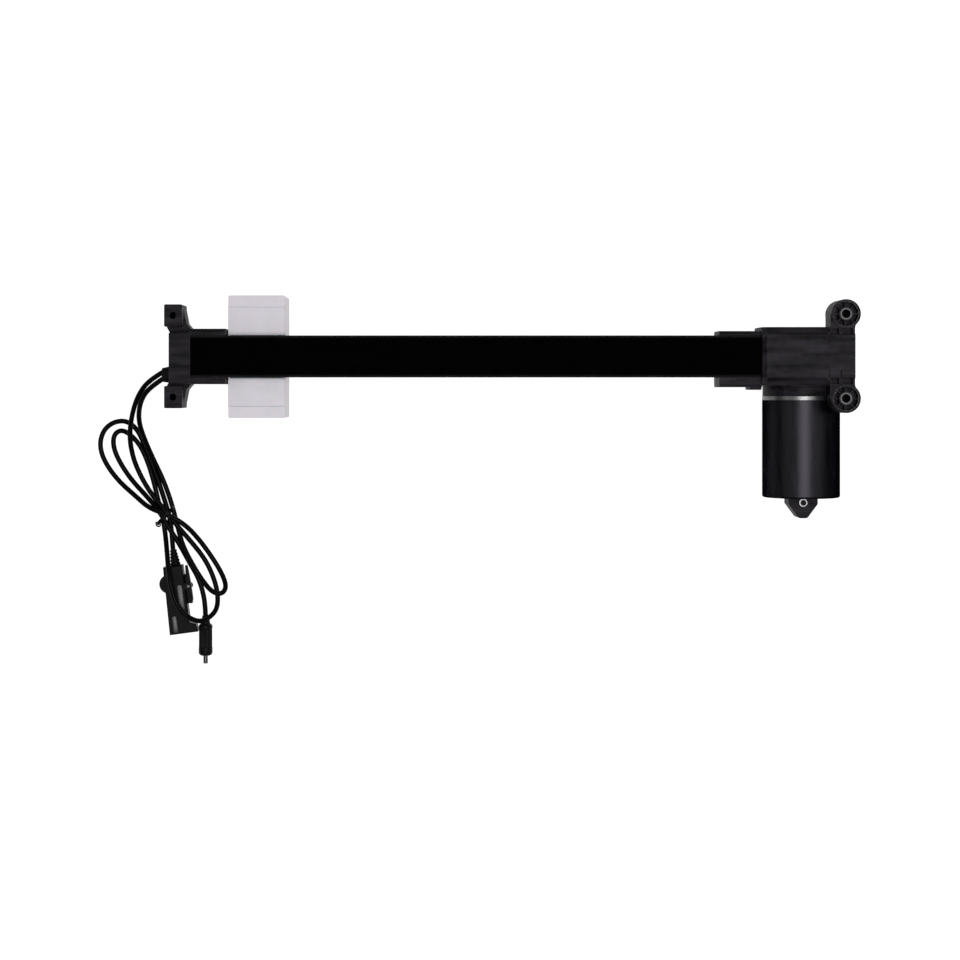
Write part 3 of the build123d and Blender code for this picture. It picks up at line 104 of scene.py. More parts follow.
class Shader:
    """A node material with a few helpers for procedural detail."""

    def __init__(self, name):
        self.material = bpy.data.materials.new(name)
        self.material.use_nodes = True
        self.tree = self.material.node_tree
        self.surface = self.tree.nodes["Principled BSDF"]
        self.place = self.node("ShaderNodeTexCoord").outputs["Object"]

    def node(self, kind, **values):
        """A node of that kind, with its properties or inputs set by name."""
        made = self.tree.nodes.new(kind)
        for key, value in values.items():
            if hasattr(made, key):
                setattr(made, key, value)
            else:
                made.inputs[key.replace("_", " ")].default_value = value
        return made

    def link(self, source, target):
        """Join an output to an input."""
        self.tree.links.new(source, target)

    def stretched(self, scale):
        """The place in the piece, stretched along its axes."""
        mapping = self.node("ShaderNodeMapping")
        mapping.inputs["Scale"].default_value = scale
        self.link(self.place, mapping.inputs["Vector"])
        return mapping.outputs["Vector"]

    def noise(self, size, detail=4.0, place=None):
        """Noise whose features are about that size."""
        made = self.node("ShaderNodeTexNoise", Scale=1.0 / size, Detail=detail, Roughness=NOISE_ROUGHNESS)
        self.link(place or self.place, made.inputs["Vector"])
        return made.outputs["Fac"]

    def colours(self, factor, stops):
        """A colour for each value of a factor."""
        ramp = self.node("ShaderNodeValToRGB")
        elements = ramp.color_ramp.elements
        while len(elements) < len(stops):
            elements.new(0.5)
        for element, (position, colour) in zip(elements, stops):
            element.position = position
            element.color = (*colour, 1)
        self.link(factor, ramp.inputs["Fac"])
        return ramp.outputs["Color"]

    def between(self, factor, low, high):
        """A number between low and high, for the usual range of a noise."""
        made = self.node("ShaderNodeMapRange")
        made.inputs["From Min"].default_value = NOISE_LOW
        made.inputs["From Max"].default_value = NOISE_HIGH
        made.inputs["To Min"].default_value = low
        made.inputs["To Max"].default_value = high
        self.link(factor, made.inputs["Value"])
        return made.outputs["Result"]

    def rounded(self, radius):
        """Normals that round off hard edges."""
        return self.node("ShaderNodeBevel", samples=BEVEL_SAMPLES, Radius=radius).outputs["Normal"]

    def edges(self, rounded):
        """How much a point is on an edge, from 0 to 1."""
        flat = self.node("ShaderNodeNewGeometry").outputs["Normal"]
        turned = self.node("ShaderNodeVectorMath", operation="DOT_PRODUCT")
        self.link(rounded, turned.inputs[0])
        self.link(flat, turned.inputs[1])
        made = self.node("ShaderNodeMapRange")
        made.inputs["From Min"].default_value = EDGE_STARTS_COS
        made.inputs["From Max"].default_value = EDGE_FULL_COS
        self.link(turned.outputs["Value"], made.inputs["Value"])
        return made.outputs["Result"]

    def bump(self, height, depth, strength, normal=None):
        """Normals bent by a height."""
        made = self.node("ShaderNodeBump", Strength=strength, Distance=depth)
        self.link(height, made.inputs["Height"])
        if normal is not None:
            self.link(normal, made.inputs["Normal"])
        return made.outputs["Normal"]

    def mix(self, factor, first, second):
        """One colour over another."""
        made = self.node("ShaderNodeMix", data_type="RGBA")
        self.link(factor, made.inputs[0])
        self.link(first, made.inputs[6])
        self.link(second, made.inputs[7])
        return made.outputs[2]

    def finish(self, colour=None, roughness=None, normal=None, **constants):
        """Join what is given to the surface, set its other values, and hand back the material."""
        if colour is not None:
            self.link(colour, self.surface.inputs["Base Color"])
        if roughness is not None:
            self.link(roughness, self.surface.inputs["Roughness"])
        if normal is not None:
            self.link(normal, self.surface.inputs["Normal"])
        for key, value in constants.items():
            self.surface.inputs[key.replace("_", " ")].default_value = value
        return self.material


def grey(value, tint=(1.0, 1.0, 1.0)):
    """A grey, or a grey with a faint tint."""
    return tuple(value * part for part in tint)


def moulded(name, dark, light, rough, flow=14 * MM, edge=0.45 * MM, specular=0.5, edge_highlight_gain=2.2):
    """Moulded plastic: fine grain, faint flow marks, and a painted highlight that makes the edges lighter."""
    shader = Shader(name)
    marks = shader.noise(flow, 5.0, shader.stretched((0.12, 1.0, 1.0)))
    fine = shader.noise(0.35 * MM, 3.0)
    rounded = shader.rounded(edge)
    body = shader.colours(marks, [(0.35, dark), (0.68, light)])
    # painted highlight: on the edges the colour goes over to a lighter grey with a fine grain, standing for
    # the light the edges catch
    painted_edge_highlight = shader.colours(fine, [(0.35, light), (0.75, tuple(edge_highlight_gain * part for part in light))])
    colour = shader.mix(shader.edges(rounded), body, painted_edge_highlight)
    return shader.finish(
        colour=colour,
        roughness=shader.between(shader.noise(5 * MM), rough[0], rough[1]),
        normal=shader.bump(fine, 0.05 * MM, 0.45, rounded),
        Specular_IOR_Level=specular,
    )


def satin_black(name):
    """Satin black electrocoat on the motor can: a soft metallic sheen, with painted shade at the edges, where
    a black specular tint takes the reflection away.
    """
    shader = Shader(name)
    drawn = shader.noise(2.5 * MM, 6.0, shader.stretched((1.0, 0.12, 1.0)))
    peel = shader.noise(CAN_PEEL, 2.0)
    dark = grey(0.013, (1, 0.95, 1.08))
    light = grey(0.021, (1, 0.94, 1.12))
    return shader.finish(
        colour=shader.colours(drawn, [(NOISE_LOW, dark), (NOISE_HIGH, light)]),
        roughness=shader.between(drawn, 0.34, 0.44),
        normal=shader.bump(peel, 0.03 * MM, 0.3, shader.rounded(SOFT_EDGE)),
        Metallic=1.0,
        # painted shade: the black specular tint takes the reflection away towards the edges, so they stay
        # dark
        Specular_Tint=(0, 0, 0, 1),
    )


def rail_coat(name):
    """Dead black coat on the rail's face, with its corners and sides painted slightly grey as painted light,
    by the way they face.
    """
    shader = Shader(name)
    facing = shader.node("ShaderNodeSeparateXYZ")
    shader.link(shader.node("ShaderNodeTexCoord").outputs["Normal"], facing.inputs["Vector"])
    # painted light: faces that turn away from straight up, the corners and sides, get a lighter grey
    corner = shader.colours(facing.outputs["Z"], [(0.6, (1, 1, 1)), (0.97, (0, 0, 0))])
    dust = shader.noise(DUST_SIZE, 8.0)
    black = shader.colours(dust, [(0.35, grey(0.0001)), (0.72, grey(0.0004))])
    painted_side_light = shader.colours(dust, [(0.3, grey(0.008)), (0.7, grey(0.016))])
    return shader.finish(
        colour=shader.mix(corner, black, painted_side_light),
        roughness=shader.between(shader.noise(3 * MM, 6.0), 0.6, 0.7),
        normal=shader.bump(shader.noise(RAIL_PEEL, 2.0), 0.03 * MM, 0.35, shader.rounded(SOFT_EDGE)),
        Specular_IOR_Level=0.006,
    )


def metal(name, dark, light, rough, stretch=(1.0, 1.0, 1.0)):
    """Bare or plated metal with the marks of its making."""
    shader = Shader(name)
    marks = shader.noise(METAL_GRAIN, 4.0, shader.stretched(stretch))
    tone = shader.noise(6 * MM, 6.0)
    return shader.finish(
        colour=shader.colours(tone, [(NOISE_LOW, dark), (NOISE_HIGH, light)]),
        roughness=shader.between(marks, rough[0], rough[1]),
        normal=shader.bump(marks, 0.02 * MM, 0.3, shader.rounded(0.25 * MM)),
        Metallic=1.0,
    )


def acetal(name):
    """Milky acetal: a satin skin, faint clouds and a little light let in."""
    shader = Shader(name)
    dark = (0.53, 0.505, 0.55)
    light = (0.575, 0.55, 0.595)
    clouds = shader.noise(11 * MM, 6.0)
    fine = shader.noise(0.6 * MM, 3.0)
    rounded = shader.rounded(0.6 * MM)
    return shader.finish(
        colour=shader.colours(clouds, [(0.25, dark), (0.75, light)]),
        roughness=shader.between(fine, 0.38, 0.52),
        normal=shader.bump(fine, 0.04 * MM, 0.3, rounded),
        Subsurface_Weight=0.25,
        Subsurface_Scale=0.004,
        Specular_IOR_Level=0.45,
    )


def sheath(name, dark, light, rough):
    """The PVC skin of a cord: slightly wavy, with a soft sheen."""
    shader = Shader(name)
    waves = shader.noise(2.5 * MM, 3.0)
    return shader.finish(
        colour=shader.colours(shader.noise(12 * MM, 5.0), [(NOISE_LOW, dark), (NOISE_HIGH, light)]),
        roughness=shader.between(waves, rough[0], rough[1]),
        normal=shader.bump(waves, 0.05 * MM, 0.3),
        Specular_IOR_Level=0.035,
    )


# where moulded() is given a strength for its edges, that is how much lighter its painted edge highlight is
MATERIALS = {
    "rail_paint": rail_coat("rail_paint"),
    "motor_paint": satin_black("motor_paint"),
    "black_moulding": moulded(
        "black_moulding",
        grey(0.0025, (1.06, 0.93, 1.2)),
        grey(0.019, (1.06, 0.9, 1.16)),
        (0.42, 0.56),
        flow=5 * MM,
        specular=0.05,
        edge_highlight_gain=6.0,
    ),
    "connector_moulding": moulded(
        "connector_moulding",
        grey(0.001),
        grey(0.003),
        (0.3, 0.42),
        specular=0.05,
        edge_highlight_gain=6.0,
    ),
    "cord_sheath": sheath("cord_sheath", grey(0.001), grey(0.002), (0.26, 0.36)),
    "cord_rubber": moulded("cord_rubber", grey(0.0015), grey(0.003), (0.4, 0.55), specular=0.08, edge_highlight_gain=5.0),
    "carriage_acetal": acetal("carriage_acetal"),
    "white_acetal": acetal("white_acetal"),
    "zinc_steel": metal("zinc_steel", grey(0.1), grey(0.14, (1, 0.99, 0.95)), (0.3, 0.45)),
    "zinc_plate": metal("zinc_plate", grey(0.08), grey(0.16), (0.3, 0.42)),
    "bare_steel": metal("bare_steel", grey(0.05), grey(0.075), (0.42, 0.55), (4.0, 1.0, 1.0)),
    "bearing_steel": metal("bearing_steel", grey(0.52), grey(0.6), (0.12, 0.22)),
    "core_steel": metal("core_steel", grey(0.07), grey(0.12), (0.35, 0.5), (0.3, 6.0, 0.3)),
    "copper": metal("copper", (0.45, 0.16, 0.07), (0.6, 0.26, 0.12), (0.25, 0.4), (0.4, 5.0, 0.4)),
    "bronze": metal("bronze", (0.3, 0.17, 0.07), (0.42, 0.26, 0.12), (0.4, 0.55)),
    "ferrite": moulded("ferrite", grey(0.03), grey(0.05), (0.6, 0.75)),
    "card_laminate": moulded("card_laminate", (0.09, 0.045, 0.018), (0.14, 0.07, 0.03), (0.5, 0.65)),
    "carbon": moulded("carbon", grey(0.02), grey(0.035), (0.5, 0.7)),
    "switch_moulding": moulded(
        "switch_moulding",
        grey(0.03),
        grey(0.05),
        (0.2, 0.3),
        edge=0.1 * MM,
        specular=0.16,
    ),
    "wire_sheath": sheath("wire_sheath", (0.14, 0.01, 0.01), (0.2, 0.02, 0.015), (0.35, 0.5)),
    "brass_contact": metal("brass_contact", (0.5, 0.36, 0.13), (0.62, 0.48, 0.2), (0.2, 0.35)),
    "nickel_plug": metal("nickel_plug", grey(0.05), grey(0.08, (1, 0.97, 0.94)), (0.25, 0.36)),
}


def slot_of(node):
    """The material slot that the record gives a CAD node."""
    for subpart in frame["record"]["subparts"]:
        if subpart["node"] == node:
            return subpart["material_slot"]
    raise KeyError(node)


def paint_nodes():
    """Every CAD node takes the material of its slot."""
    for node, piece in NODES.items():
        piece.data.materials.clear()
        piece.data.materials.append(MATERIALS[slot_of(node)])


paint_nodes()


def add_piece(name, mesh, material, body, *replaced):
    """Put a new piece in the scene with the given material, on its body, and hide the CAD nodes that it
    replaces, if any.
    """
    piece = bpy.data.objects.new(name, mesh)
    bpy.context.scene.collection.objects.link(piece)
    piece.data.materials.append(MATERIALS[material])
    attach(piece, body)
    if replaced:
        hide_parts(*replaced)
    return piece


# ---------------------------------------------------------------- cords
CORD_R = 1.95 * MM
CORD_BEVEL_STEPS = 7
CORD_STEPS = 10  # per control point
CONTROL_ROUTE = [  # from the gland to the barrel plug
    (-0.5125, -0.0110, -0.0100),
    (-0.5245, -0.0175, -0.0120),
    (-0.5345, -0.0295, -0.0210),
    (-0.5410, -0.0450, -0.0330),
    (-0.5440, -0.0625, -0.0410),
    (-0.5415, -0.0790, -0.0450),
    (-0.5355, -0.0935, -0.0470),
    (-0.5280, -0.1060, -0.0470),
    (-0.5180, -0.1180, -0.0465),
    (-0.5080, -0.1305, -0.0465),
    (-0.4975, -0.1430, -0.0490),
    (-0.4870, -0.1565, -0.0515),
    (-0.4800, -0.1705, -0.0515),
    (-0.4762, -0.1845, -0.0515),
    (-0.4765, -0.1965, -0.0490),
    (-0.4825, -0.2030, -0.0445),
    (-0.4895, -0.2055, -0.0400),
    (-0.4985, -0.2010, -0.0355),
    (-0.5065, -0.1920, -0.0340),
    (-0.5105, -0.1790, -0.0340),
    (-0.5130, -0.1645, -0.0360),
    (-0.5150, -0.1520, -0.0435),
    (-0.5170, -0.1400, -0.0505),
    (-0.5190, -0.1260, -0.0505),
    (-0.5235, -0.1095, -0.0515),
    (-0.5270, -0.0945, -0.0515),
    (-0.5320, -0.0790, -0.0515),
    (-0.5380, -0.0670, -0.0515),
    (-0.5465, -0.0585, -0.0515),
    (-0.5530, -0.0565, -0.0515),
    (-0.5580, -0.0610, -0.0515),
    (-0.5580, -0.0705, -0.0515),
    (-0.5530, -0.0820, -0.0515),
    (-0.5440, -0.0955, -0.0515),
    (-0.5330, -0.1070, -0.0500),
    (-0.5220, -0.1190, -0.0465),
    (-0.5145, -0.1320, -0.0465),
    (-0.5058, -0.1455, -0.0475),
    (-0.4992, -0.1590, -0.0515),
    (-0.4918, -0.1715, -0.0515),
    (-0.4880, -0.1830, -0.0515),
    (-0.4860, -0.1940, -0.0505),
    (-0.4855, -0.2040, -0.0480),
]
POWER_ROUTE = [  # from the gland to the box connector
    (-0.5125, -0.0160, -0.0100),
    (-0.5240, -0.0230, -0.0120),
    (-0.5325, -0.0335, -0.0210),
    (-0.5360, -0.0485, -0.0330),
    (-0.5322, -0.0640, -0.0420),
    (-0.5262, -0.0795, -0.0480),
    (-0.5190, -0.0955, -0.0515),
    (-0.5140, -0.1090, -0.0510),
    (-0.5105, -0.1205, -0.0505),
    (-0.5075, -0.1330, -0.0510),
    (-0.5035, -0.1470, -0.0495),
    (-0.4962, -0.1605, -0.0476),
    (-0.4885, -0.1730, -0.0472),
    (-0.4805, -0.1825, -0.0445),
    (-0.4725, -0.1845, -0.0445),
    (-0.4690, -0.1790, -0.0475),
    (-0.4728, -0.1690, -0.0510),
    (-0.4815, -0.1550, -0.0515),
    (-0.4910, -0.1415, -0.0490),
    (-0.5010, -0.1300, -0.0440),
    (-0.5145, -0.1220, -0.0420),
    (-0.5285, -0.1175, -0.0425),
    (-0.5410, -0.1075, -0.0485),
    (-0.5550, -0.0955, -0.0515),
    (-0.5655, -0.0805, -0.0515),
    (-0.5689, -0.0680, -0.0515),
    (-0.5660, -0.0570, -0.0515),
    (-0.5585, -0.0505, -0.0515),
    (-0.5485, -0.0490, -0.0515),
    (-0.5400, -0.0550, -0.0515),
    (-0.5340, -0.0670, -0.0515),
    (-0.5290, -0.0800, -0.0515),
    (-0.5235, -0.0945, -0.0515),
    (-0.5185, -0.1095, -0.0510),
    (-0.5145, -0.1220, -0.0505),
    (-0.5125, -0.1345, -0.0515),
    (-0.5120, -0.1435, -0.0515),
    (-0.5110, -0.1515, -0.0500),
]


def round_cord(name, points, radius):
    """One NURBS spline of round section that follows the points."""
    curve = bpy.data.curves.new(name, "CURVE")
    curve.dimensions = "3D"
    curve.bevel_depth = radius
    curve.bevel_resolution = CORD_BEVEL_STEPS
    curve.use_fill_caps = True
    curve.resolution_u = CORD_STEPS
    spline = curve.splines.new("NURBS")
    spline.points.add(len(points) - 1)
    for control, place in zip(spline.points, points):
        control.co = (*place, 1)
    spline.order_u = 3
    spline.use_endpoint_u = True
    return curve


control_cord = add_piece(
    "control_cord_skin",
    round_cord("control_cord_skin", CONTROL_ROUTE, CORD_R),
    "cord_sheath",
    "root",
    "control_cord",
)
power_cord = add_piece(
    "power_cord_skin",
    round_cord("power_cord_skin", POWER_ROUTE, CORD_R),
    "cord_sheath",
    "root",
    "power_cord",
)

# ---------------------------------------------------------------- stage
FLOOR_Z = CAD_BOX[0][2] - 0.1 * MM
FLOOR_SIZE = 8
FLOOR_GLOW = 0.93  # the floor's own light, which leaves it white with almost no shadow
ROOM_LIGHT = 0.05
LAMPS = (  # name, place, side, power
    ("lamp_left", (-2.2, 0.2, 1.8), 1.4, 9),
    ("lamp_right", (1.6, 0.2, 1.8), 1.4, 9),
    ("lamp_back", (-0.3, 1.9, 1.8), 1.4, 7),
    ("lamp_front", (-0.3, -1.9, 1.8), 1.4, 7),
    ("lamp_top", (-0.05, -0.1, 2.6), 1.2, 52),
)


def make_floor():
    """A plain pale table top, far larger than the view."""
    shader = Shader("table_top")
    tone = shader.noise(0.4, 3.0)
    material = shader.finish(
        colour=shader.colours(tone, [(NOISE_LOW, grey(0.22)), (NOISE_HIGH, grey(0.24))]),
        Roughness=0.9,
        Specular_IOR_Level=0.0,
        Emission_Color=(1, 1, 1, 1),
        Emission_Strength=FLOOR_GLOW,
    )
    bpy.ops.mesh.primitive_plane_add(size=FLOOR_SIZE, location=(CAMERA_X, CAMERA_Y, FLOOR_Z))
    floor = bpy.context.object
    floor.name = "table_top"
    floor.data.materials.append(material)


def softbox(name, place, size, power):
    """A square lamp aimed at the middle of the actuator."""
    data = bpy.data.lights.new(name, "AREA")
    data.shape = "SQUARE"
    data.size = size
    data.energy = power
    lamp = bpy.data.objects.new(name, data)
    lamp.location = place
    target = Vector((CAMERA_X, CAMERA_Y, 0))
    lamp.rotation_euler = (target - lamp.location).to_track_quat("-Z", "Y").to_euler()
    bpy.context.scene.collection.objects.link(lamp)


def make_light():
    """A dim room, a large soft lamp overhead and four weak ones around the table."""
    world = bpy.data.worlds.new("room")
    world.use_nodes = True
    background = world.node_tree.nodes["Background"]
    background.inputs["Color"].default_value = (1, 1, 1, 1)
    background.inputs["Strength"].default_value = ROOM_LIGHT
    bpy.context.scene.world = world
    for name, place, size, power in LAMPS:
        softbox(name, place, size, power)
    # white stays white, without the default tone curve
    bpy.context.scene.view_settings.view_transform = "Standard"


make_floor()
make_light()

# ---------------------------------------------------------------- meshes of round bodies
ALONG = Vector((1, 0, 0))
ACROSS = Vector((0, 1, 0))
UP = Vector((0, 0, 1))
THREAD_STEPS = 40
ROUND_SIDES = 48
WIRE_SIDES = 10
ROD_CHAMFER = 0.3 * MM
SAME_POINT = 1e-6
SHARP_ANGLE = math.radians(32)


def threaded_rod(axis_point, axis, side, length, root_r, crest_r, lead, starts, root_width, crest_width):
    """A rod with a trapezoidal thread: the rows of points follow the helix."""
    pitch = lead / starts
    flank = (root_width - crest_width) / 2
    profile = [(0, crest_r), (crest_width, crest_r), (crest_width + flank, root_r), (pitch - flank, root_r)]
    up = axis.cross(side)
    turns = math.ceil(length / pitch) + 2 * starts + 1
    rows = [(turn * pitch + x - 2 * lead, r) for turn in range(turns) for x, r in profile]
    mesh = bmesh.new()
    grid = []
    for step in range(THREAD_STEPS):
        angle = 2 * math.pi * step / THREAD_STEPS
        around = side * math.cos(angle) + up * math.sin(angle)
        column = []
        for x, r in rows:
            along = min(max(x + lead * step / THREAD_STEPS, 0.0), length)
            column.append(mesh.verts.new(axis_point + axis * along + around * r))
        grid.append(column)
    jump = len(profile) * starts
    for step in range(THREAD_STEPS):
        this = grid[step]
        last = step == THREAD_STEPS - 1
        following = grid[0][jump:] if last else grid[step + 1]
        for row in range(min(len(this), len(following)) - 1):
            mesh.faces.new((this[row], this[row + 1], following[row + 1], following[row]))
    bmesh.ops.remove_doubles(mesh, verts=mesh.verts, dist=SAME_POINT)
    bmesh.ops.dissolve_degenerate(mesh, dist=SAME_POINT, edges=mesh.edges)
    return mesh


def close_rings(mesh, rings):
    """Faces between rings of points that follow each other, and a cap on each end."""
    sides = len(rings[0])
    for low, high in zip(rings, rings[1:]):
        for step in range(sides):
            after = (step + 1) % sides
            mesh.faces.new((low[step], low[after], high[after], high[step]))
    mesh.faces.new(list(reversed(rings[0])))
    mesh.faces.new(rings[-1])


def add_rod(mesh, start, axis, side, length, radius):
    """A closed plain cylinder in the same mesh, with small chamfers at its ends."""
    up = axis.cross(side)
    chamfer = min(ROD_CHAMFER, radius * 0.2)
    steps = [(0, radius - chamfer), (chamfer, radius), (length - chamfer, radius), (length, radius - chamfer)]
    rings = []
    for along, r in steps:
        ring = []
        for step in range(ROUND_SIDES):
            angle = 2 * math.pi * step / ROUND_SIDES
            around = side * math.cos(angle) + up * math.sin(angle)
            ring.append(mesh.verts.new(start + axis * along + around * r))
        rings.append(ring)
    close_rings(mesh, rings)


def to_mesh(name, mesh):
    """Mesh data with outward normals, smooth but for its sharp edges."""
    bmesh.ops.recalc_face_normals(mesh, faces=mesh.faces)
    data = bpy.data.meshes.new(name)
    mesh.to_mesh(data)
    mesh.free()
    data.shade_smooth()
    data.set_sharp_from_angle(angle=SHARP_ANGLE)
    return data


def ring_mesh(name, centres, axis, side, radius, wire):
    """Plain rings of round wire around an axis, one at each centre."""
    up = axis.cross(side)
    mesh = bmesh.new()
    for centre in centres:
        grid = []
        for step in range(ROUND_SIDES):
            angle = 2 * math.pi * step / ROUND_SIDES
            out = side * math.cos(angle) + up * math.sin(angle)
            loop = []
            for turn in range(WIRE_SIDES):
                twist = 2 * math.pi * turn / WIRE_SIDES
                place = centre + out * (radius + wire * math.cos(twist)) + axis * wire * math.sin(twist)
                loop.append(mesh.verts.new(place))
            grid.append(loop)
        for step in range(ROUND_SIDES):
            this, following = grid[step], grid[(step + 1) % ROUND_SIDES]
            for turn in range(WIRE_SIDES):
                after = (turn + 1) % WIRE_SIDES
                mesh.faces.new((this[turn], this[after], following[after], following[turn]))
    return to_mesh(name, mesh)


def turned(name, start, axis, side, profile, sides, flutes=0, flute_depth=0.0):
    """A body turned around an axis from (along, radius) pairs, with flutes where the pair asks for them."""
    up = axis.cross(side)
    mesh = bmesh.new()
    rings = []
    for along, radius, fluted in profile:
        ring = []
        for step in range(sides):
            angle = 2 * math.pi * step / sides
            cut = flute_depth * fluted * (0.5 + 0.5 * math.cos(flutes * angle))
            around = side * math.cos(angle) + up * math.sin(angle)
            ring.append(mesh.verts.new(start + axis * along + around * (radius - cut)))
        rings.append(ring)
    close_rings(mesh, rings)
    return to_mesh(name, mesh)


# ---------------------------------------------------------------- lead screw and worm
SCREW_CREST_R = 6.0 * MM
SCREW_ROOT_R = 4.5 * MM
SCREW_LEAD = 8 * MM
SCREW_STARTS = 2
SCREW_ROOT_WIDTH = 2.7 * MM
SCREW_CREST_WIDTH = 1.3 * MM
SCREW_NOSE_R = 4.0 * MM
SCREW_JOIN = 2 * MM  # how far the plain lengths reach into the threaded one
THREAD_FRONT_X = -0.476
THREAD_REAR_X = -0.060
GEAR_MODULE = 1.25 * MM
WORM_TOOTH_DEPTH = 2.25 * GEAR_MODULE
WORM_TIP_GAP = 0.3 * MM
WORM_ROOT_WIDTH = 2.5 * MM
WORM_CREST_WIDTH = 0.7 * MM
SKIN = 0.02 * MM  # keeps two surfaces of one piece apart


def make_lead_screw():
    """The two-start lead screw with its plain nose, shank and rear end."""
    low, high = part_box("lead_screw")
    shank_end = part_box("bearing_inner_race")[1][0]
    mesh = threaded_rod(
        Vector((THREAD_FRONT_X, 0, 0)),
        ALONG,
        ACROSS,
        THREAD_REAR_X - THREAD_FRONT_X,
        SCREW_ROOT_R,
        SCREW_CREST_R,
        SCREW_LEAD,
        SCREW_STARTS,
        SCREW_ROOT_WIDTH,
        SCREW_CREST_WIDTH,
    )
    plain_lengths = (
        (low[0], THREAD_FRONT_X, SCREW_NOSE_R),
        (THREAD_FRONT_X - SCREW_JOIN, THREAD_FRONT_X + SCREW_JOIN, SCREW_CREST_R - SKIN),
        (THREAD_REAR_X - SCREW_JOIN, shank_end, SCREW_CREST_R),
        (shank_end, high[0], SCREW_ROOT_R),
    )
    for front, rear, radius in plain_lengths:
        add_rod(mesh, Vector((front, 0, 0)), ALONG, ACROSS, rear - front, radius)
    screw = to_mesh("lead_screw_threaded", mesh)
    add_piece("lead_screw_threaded", screw, "bare_steel", "screw", "lead_screw")


def make_worm():
    """The worm's single thread around its core."""
    low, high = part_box("worm")
    start = Vector(((low[0] + high[0]) / 2, low[1], (low[2] + high[2]) / 2))
    length = high[1] - low[1]
    root_r = (high[0] - low[0]) / 2
    crest_r = root_r + WORM_TOOTH_DEPTH - WORM_TIP_GAP
    lead = math.pi * GEAR_MODULE
    mesh = threaded_rod(
        start, ACROSS, ALONG, length, root_r, crest_r, lead, 1, WORM_ROOT_WIDTH, WORM_CREST_WIDTH
    )
    add_rod(mesh, start, ACROSS, ALONG, length, root_r - SKIN)
    add_piece("worm_threaded", to_mesh("worm_threaded", mesh), "bare_steel", "armature", "worm")


make_lead_screw()
make_worm()

# ---------------------------------------------------------------- small things on the gearbox
FACE_DROP = 0.5 * MM  # from the sleeves' ends to the gearbox face
GATE_X = -13.5 * MM
GATE_SINK = 0.05 * MM
GATE_DOME = [(0, 1.0 * MM, 0), (0.25 * MM, 0.8 * MM, 0), (0.4 * MM, 0.35 * MM, 0)]
GATE_SIDES = 20
SEAM_FRONT_X = -24.7 * MM
SEAM_REAR_X = 3.0 * MM
SEAM_SINK = 0.1 * MM
SEAM_R = 0.22 * MM
SEAM_END_R = 0.05 * MM
SEAM_TAPER = 1.5 * MM
SEAM_SIDES = 16
BOSS_SPREAD = 31.6 * MM
BEAD_R = 9.4 * MM
BEAD_WIRE = 0.45 * MM
BEAD_SINK = 0.05 * MM


def make_gate_mark():
    """The moulding gate and the fine seam that runs through it on the gearbox face."""
    face_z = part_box("boss_sleeves")[1][2] - FACE_DROP
    start = Vector((SEAM_FRONT_X, 0, face_z - SEAM_SINK))
    length = SEAM_REAR_X - SEAM_FRONT_X
    profile = [
        (0, SEAM_END_R, 0),
        (SEAM_TAPER, SEAM_R, 0),
        (length - SEAM_TAPER, SEAM_R, 0),
        (length, SEAM_END_R, 0),
    ]
    seam = turned("face_seam", start, ALONG, ACROSS, profile, SEAM_SIDES)
    add_piece("face_seam", seam, "black_moulding", "root")
    place = Vector((GATE_X, 0, face_z - GATE_SINK))
    gate = turned("face_gate", place, UP, ALONG, GATE_DOME, GATE_SIDES)
    add_piece("face_gate", gate, "black_moulding", "root")


def make_boss_beads():
    """The polished bead inside the rim of each rear boss."""
    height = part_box("boss_sleeves")[1][2] - BEAD_WIRE - BEAD_SINK
    centres = [Vector((0, side * BOSS_SPREAD, height)) for side in (1, -1)]
    mesh = ring_mesh("boss_beads", centres, UP, ALONG, BEAD_R, BEAD_WIRE)
    add_piece("boss_beads", mesh, "zinc_plate", "root")


make_gate_mark()
make_boss_beads()

# ---------------------------------------------------------------- brush springs
SPRING_R = 1.65 * MM
SPRING_WIRE_R = 0.28 * MM
SPRING_TURNS = 6
SPRING_STEPS = 12


def make_brush_springs():
    """The two coil springs that press the brushes on the commutator."""
    low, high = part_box("brush_springs")
    half = (high[0] - low[0]) / 2
    middle = Vector(((low[0] + high[0]) / 2, (low[1] + high[1]) / 2, (low[2] + high[2]) / 2))
    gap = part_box("brushes")
    inner = (gap[1][0] - gap[0][0]) / 2
    curve = bpy.data.curves.new("brush_spring_coils", "CURVE")
    curve.dimensions = "3D"
    curve.bevel_depth = SPRING_WIRE_R
    curve.use_fill_caps = True
    length = half - inner - 2 * SPRING_WIRE_R
    for side in (1, -1):
        spline = curve.splines.new("NURBS")
        count = SPRING_TURNS * SPRING_STEPS + 1
        spline.points.add(count - 1)
        for step in range(count):
            angle = 2 * math.pi * step / SPRING_STEPS
            along = side * (inner + SPRING_WIRE_R + length * step / (count - 1))
            place = middle + Vector((along, SPRING_R * math.cos(angle), SPRING_R * math.sin(angle)))
            spline.points[step].co = (*place, 1)
        spline.order_u = 3
        spline.use_endpoint_u = True
    add_piece("brush_spring_coils", curve, "zinc_steel", "root", "brush_springs")


make_brush_springs()

